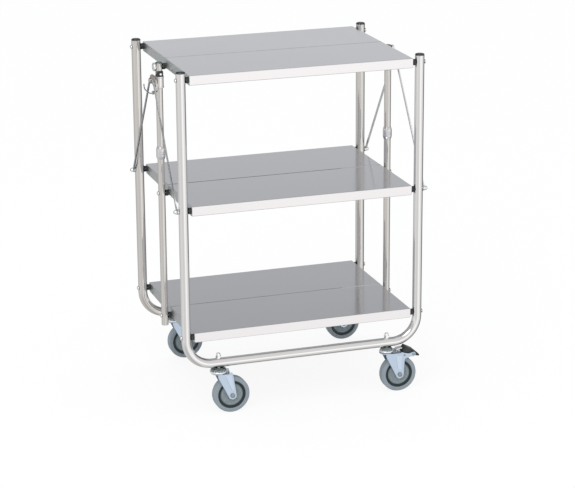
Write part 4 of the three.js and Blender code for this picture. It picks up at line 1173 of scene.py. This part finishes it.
def pedalParts():
    # a wedge with a rounded heel, a raised cheek on each side and ribs across its slope
    half, bow, tip = fork["legIn"] - brake["sideGap"], Vector(brake["bow"]), Vector(brake["tip"])
    outline = arcPoints((0, 0), brake["hub"], *brake["hubArc"])
    outline += [brake[corner] for corner in ("belly", "toe", "tip", "bow", "top", "heel")]
    inner = half - brake["cheekStep"]
    parts = [slabPart(outline, -inner, inner, "Y")]
    middle, shrink = brake["cheekMiddle"], brake["cheekShrink"]
    cheek = [(x + (middle[0] - x) * shrink, z + (middle[1] - z) * shrink) for x, z in outline]
    parts += slabPair(cheek, half - brake["cheek"], half, "Y")
    ahead = (tip - bow).normalized()
    out = Vector((-ahead.y, ahead.x))
    wide, rise = ahead * brake["ribWidth"] / 2, out * (brake["ribRise"] + brake["ribSink"])
    taper, ribHalf = brake["ribTaper"], half - brake["ribEnd"]
    for i in range(brake["ribs"]):
        low = bow.lerp(tip, (i + 0.5) / brake["ribs"]) - out * brake["ribSink"]
        rib = (low - wide, low + wide, low + wide * taper + rise, low - wide * taper + rise)
        parts.append(slabPart([tuple(point) for point in rib], -ribHalf, ribHalf, "Y"))
    return [moved(part, at(brake["reach"], 0, brake["height"])) for part in parts]


for row, back in rows.items():
    for end, side in ends.items():
        tag, braked = f"{row}_{end}", side > 0
        raceRadius = caster["brakedRaceRadius"] if braked else caster["raceRadius"]
        place = at(side * trolley["casterSpacing"] / 2, back * halfFrames, 0)
        hub = place @ at(caster["trail"], 0, wheel["radius"]) @ alongY
        headTie = (f"{row}_frame", [f"{tag}_caster_head"], "zinc_steel")
        forkTie = (f"{tag}_fork_body", [f"{tag}_caster_fork"], "zinc_steel")
        tyreTie = (f"{tag}_wheel_body", [f"{tag}_tyre"], "tyre")
        coreTie = (f"{tag}_wheel_body", [f"{tag}_wheel_core"], "wheel_plastic")
        pedalTie = (f"{tag}_brake_body", [f"{tag}_brake_pedal"], "black_plastic")
        pieces = [
            ("RaceRing", [turnedPart(raceRingProfile(raceRadius))], "brightPlate", headTie, 0, place),
            ("RaceTop", [turnedPart(raceTopProfile(raceRadius))], "darkPlate", headTie, 0, place),
            ("Stem", [turnedPart(stemProfile())], "brightPlate", headTie, 0, place),
            ("Balls", ballParts(raceRadius), "brightPlate", headTie, 0, place),
            ("Fork", forkParts(braked), "zincPlate", forkTie, fork["edge"], place),
            ("ForkRibs", ribParts(braked), "litRibZinc", forkTie, fork["edge"], place),
            ("AxleBolt", [axlePart()], "boltSteel", forkTie, 0, place),
            ("Tyre", [turnedPart(tyreProfile(), "tyre")], "greyRubber", tyreTie, 0, hub),
            ("Rim", [turnedPart(ringProfile(), "tyre")], "darkRubber", coreTie, 0, hub),
            ("Disc", [turnedPart(discProfile(), "disc")], "discPlastic", coreTie, 0, hub),
            ("DiscRidges", ridgeParts(), "litRidgePlastic", coreTie, 0, hub),
        ]
        if braked:
            pieces += [
                ("BrakePins", brakeParts(), "boltSteel", forkTie, 0, place),
                ("Tongue", tongueParts(), "brightPlate", forkTie, tongue["edge"], place),
                ("Barrel", [barrelPart()], "shadedStayPlate", forkTie, 0, place),
                ("Pedal", pedalParts(), "blackPlastic", pedalTie, brake["edge"], place),
            ]
        for part, shapes, finish, tie, edge, spot in pieces:
            addPiece(f"{row}{end.title()}{part}", shapes, finish, tie, edge, spot)

bpy.context.view_layer.update()
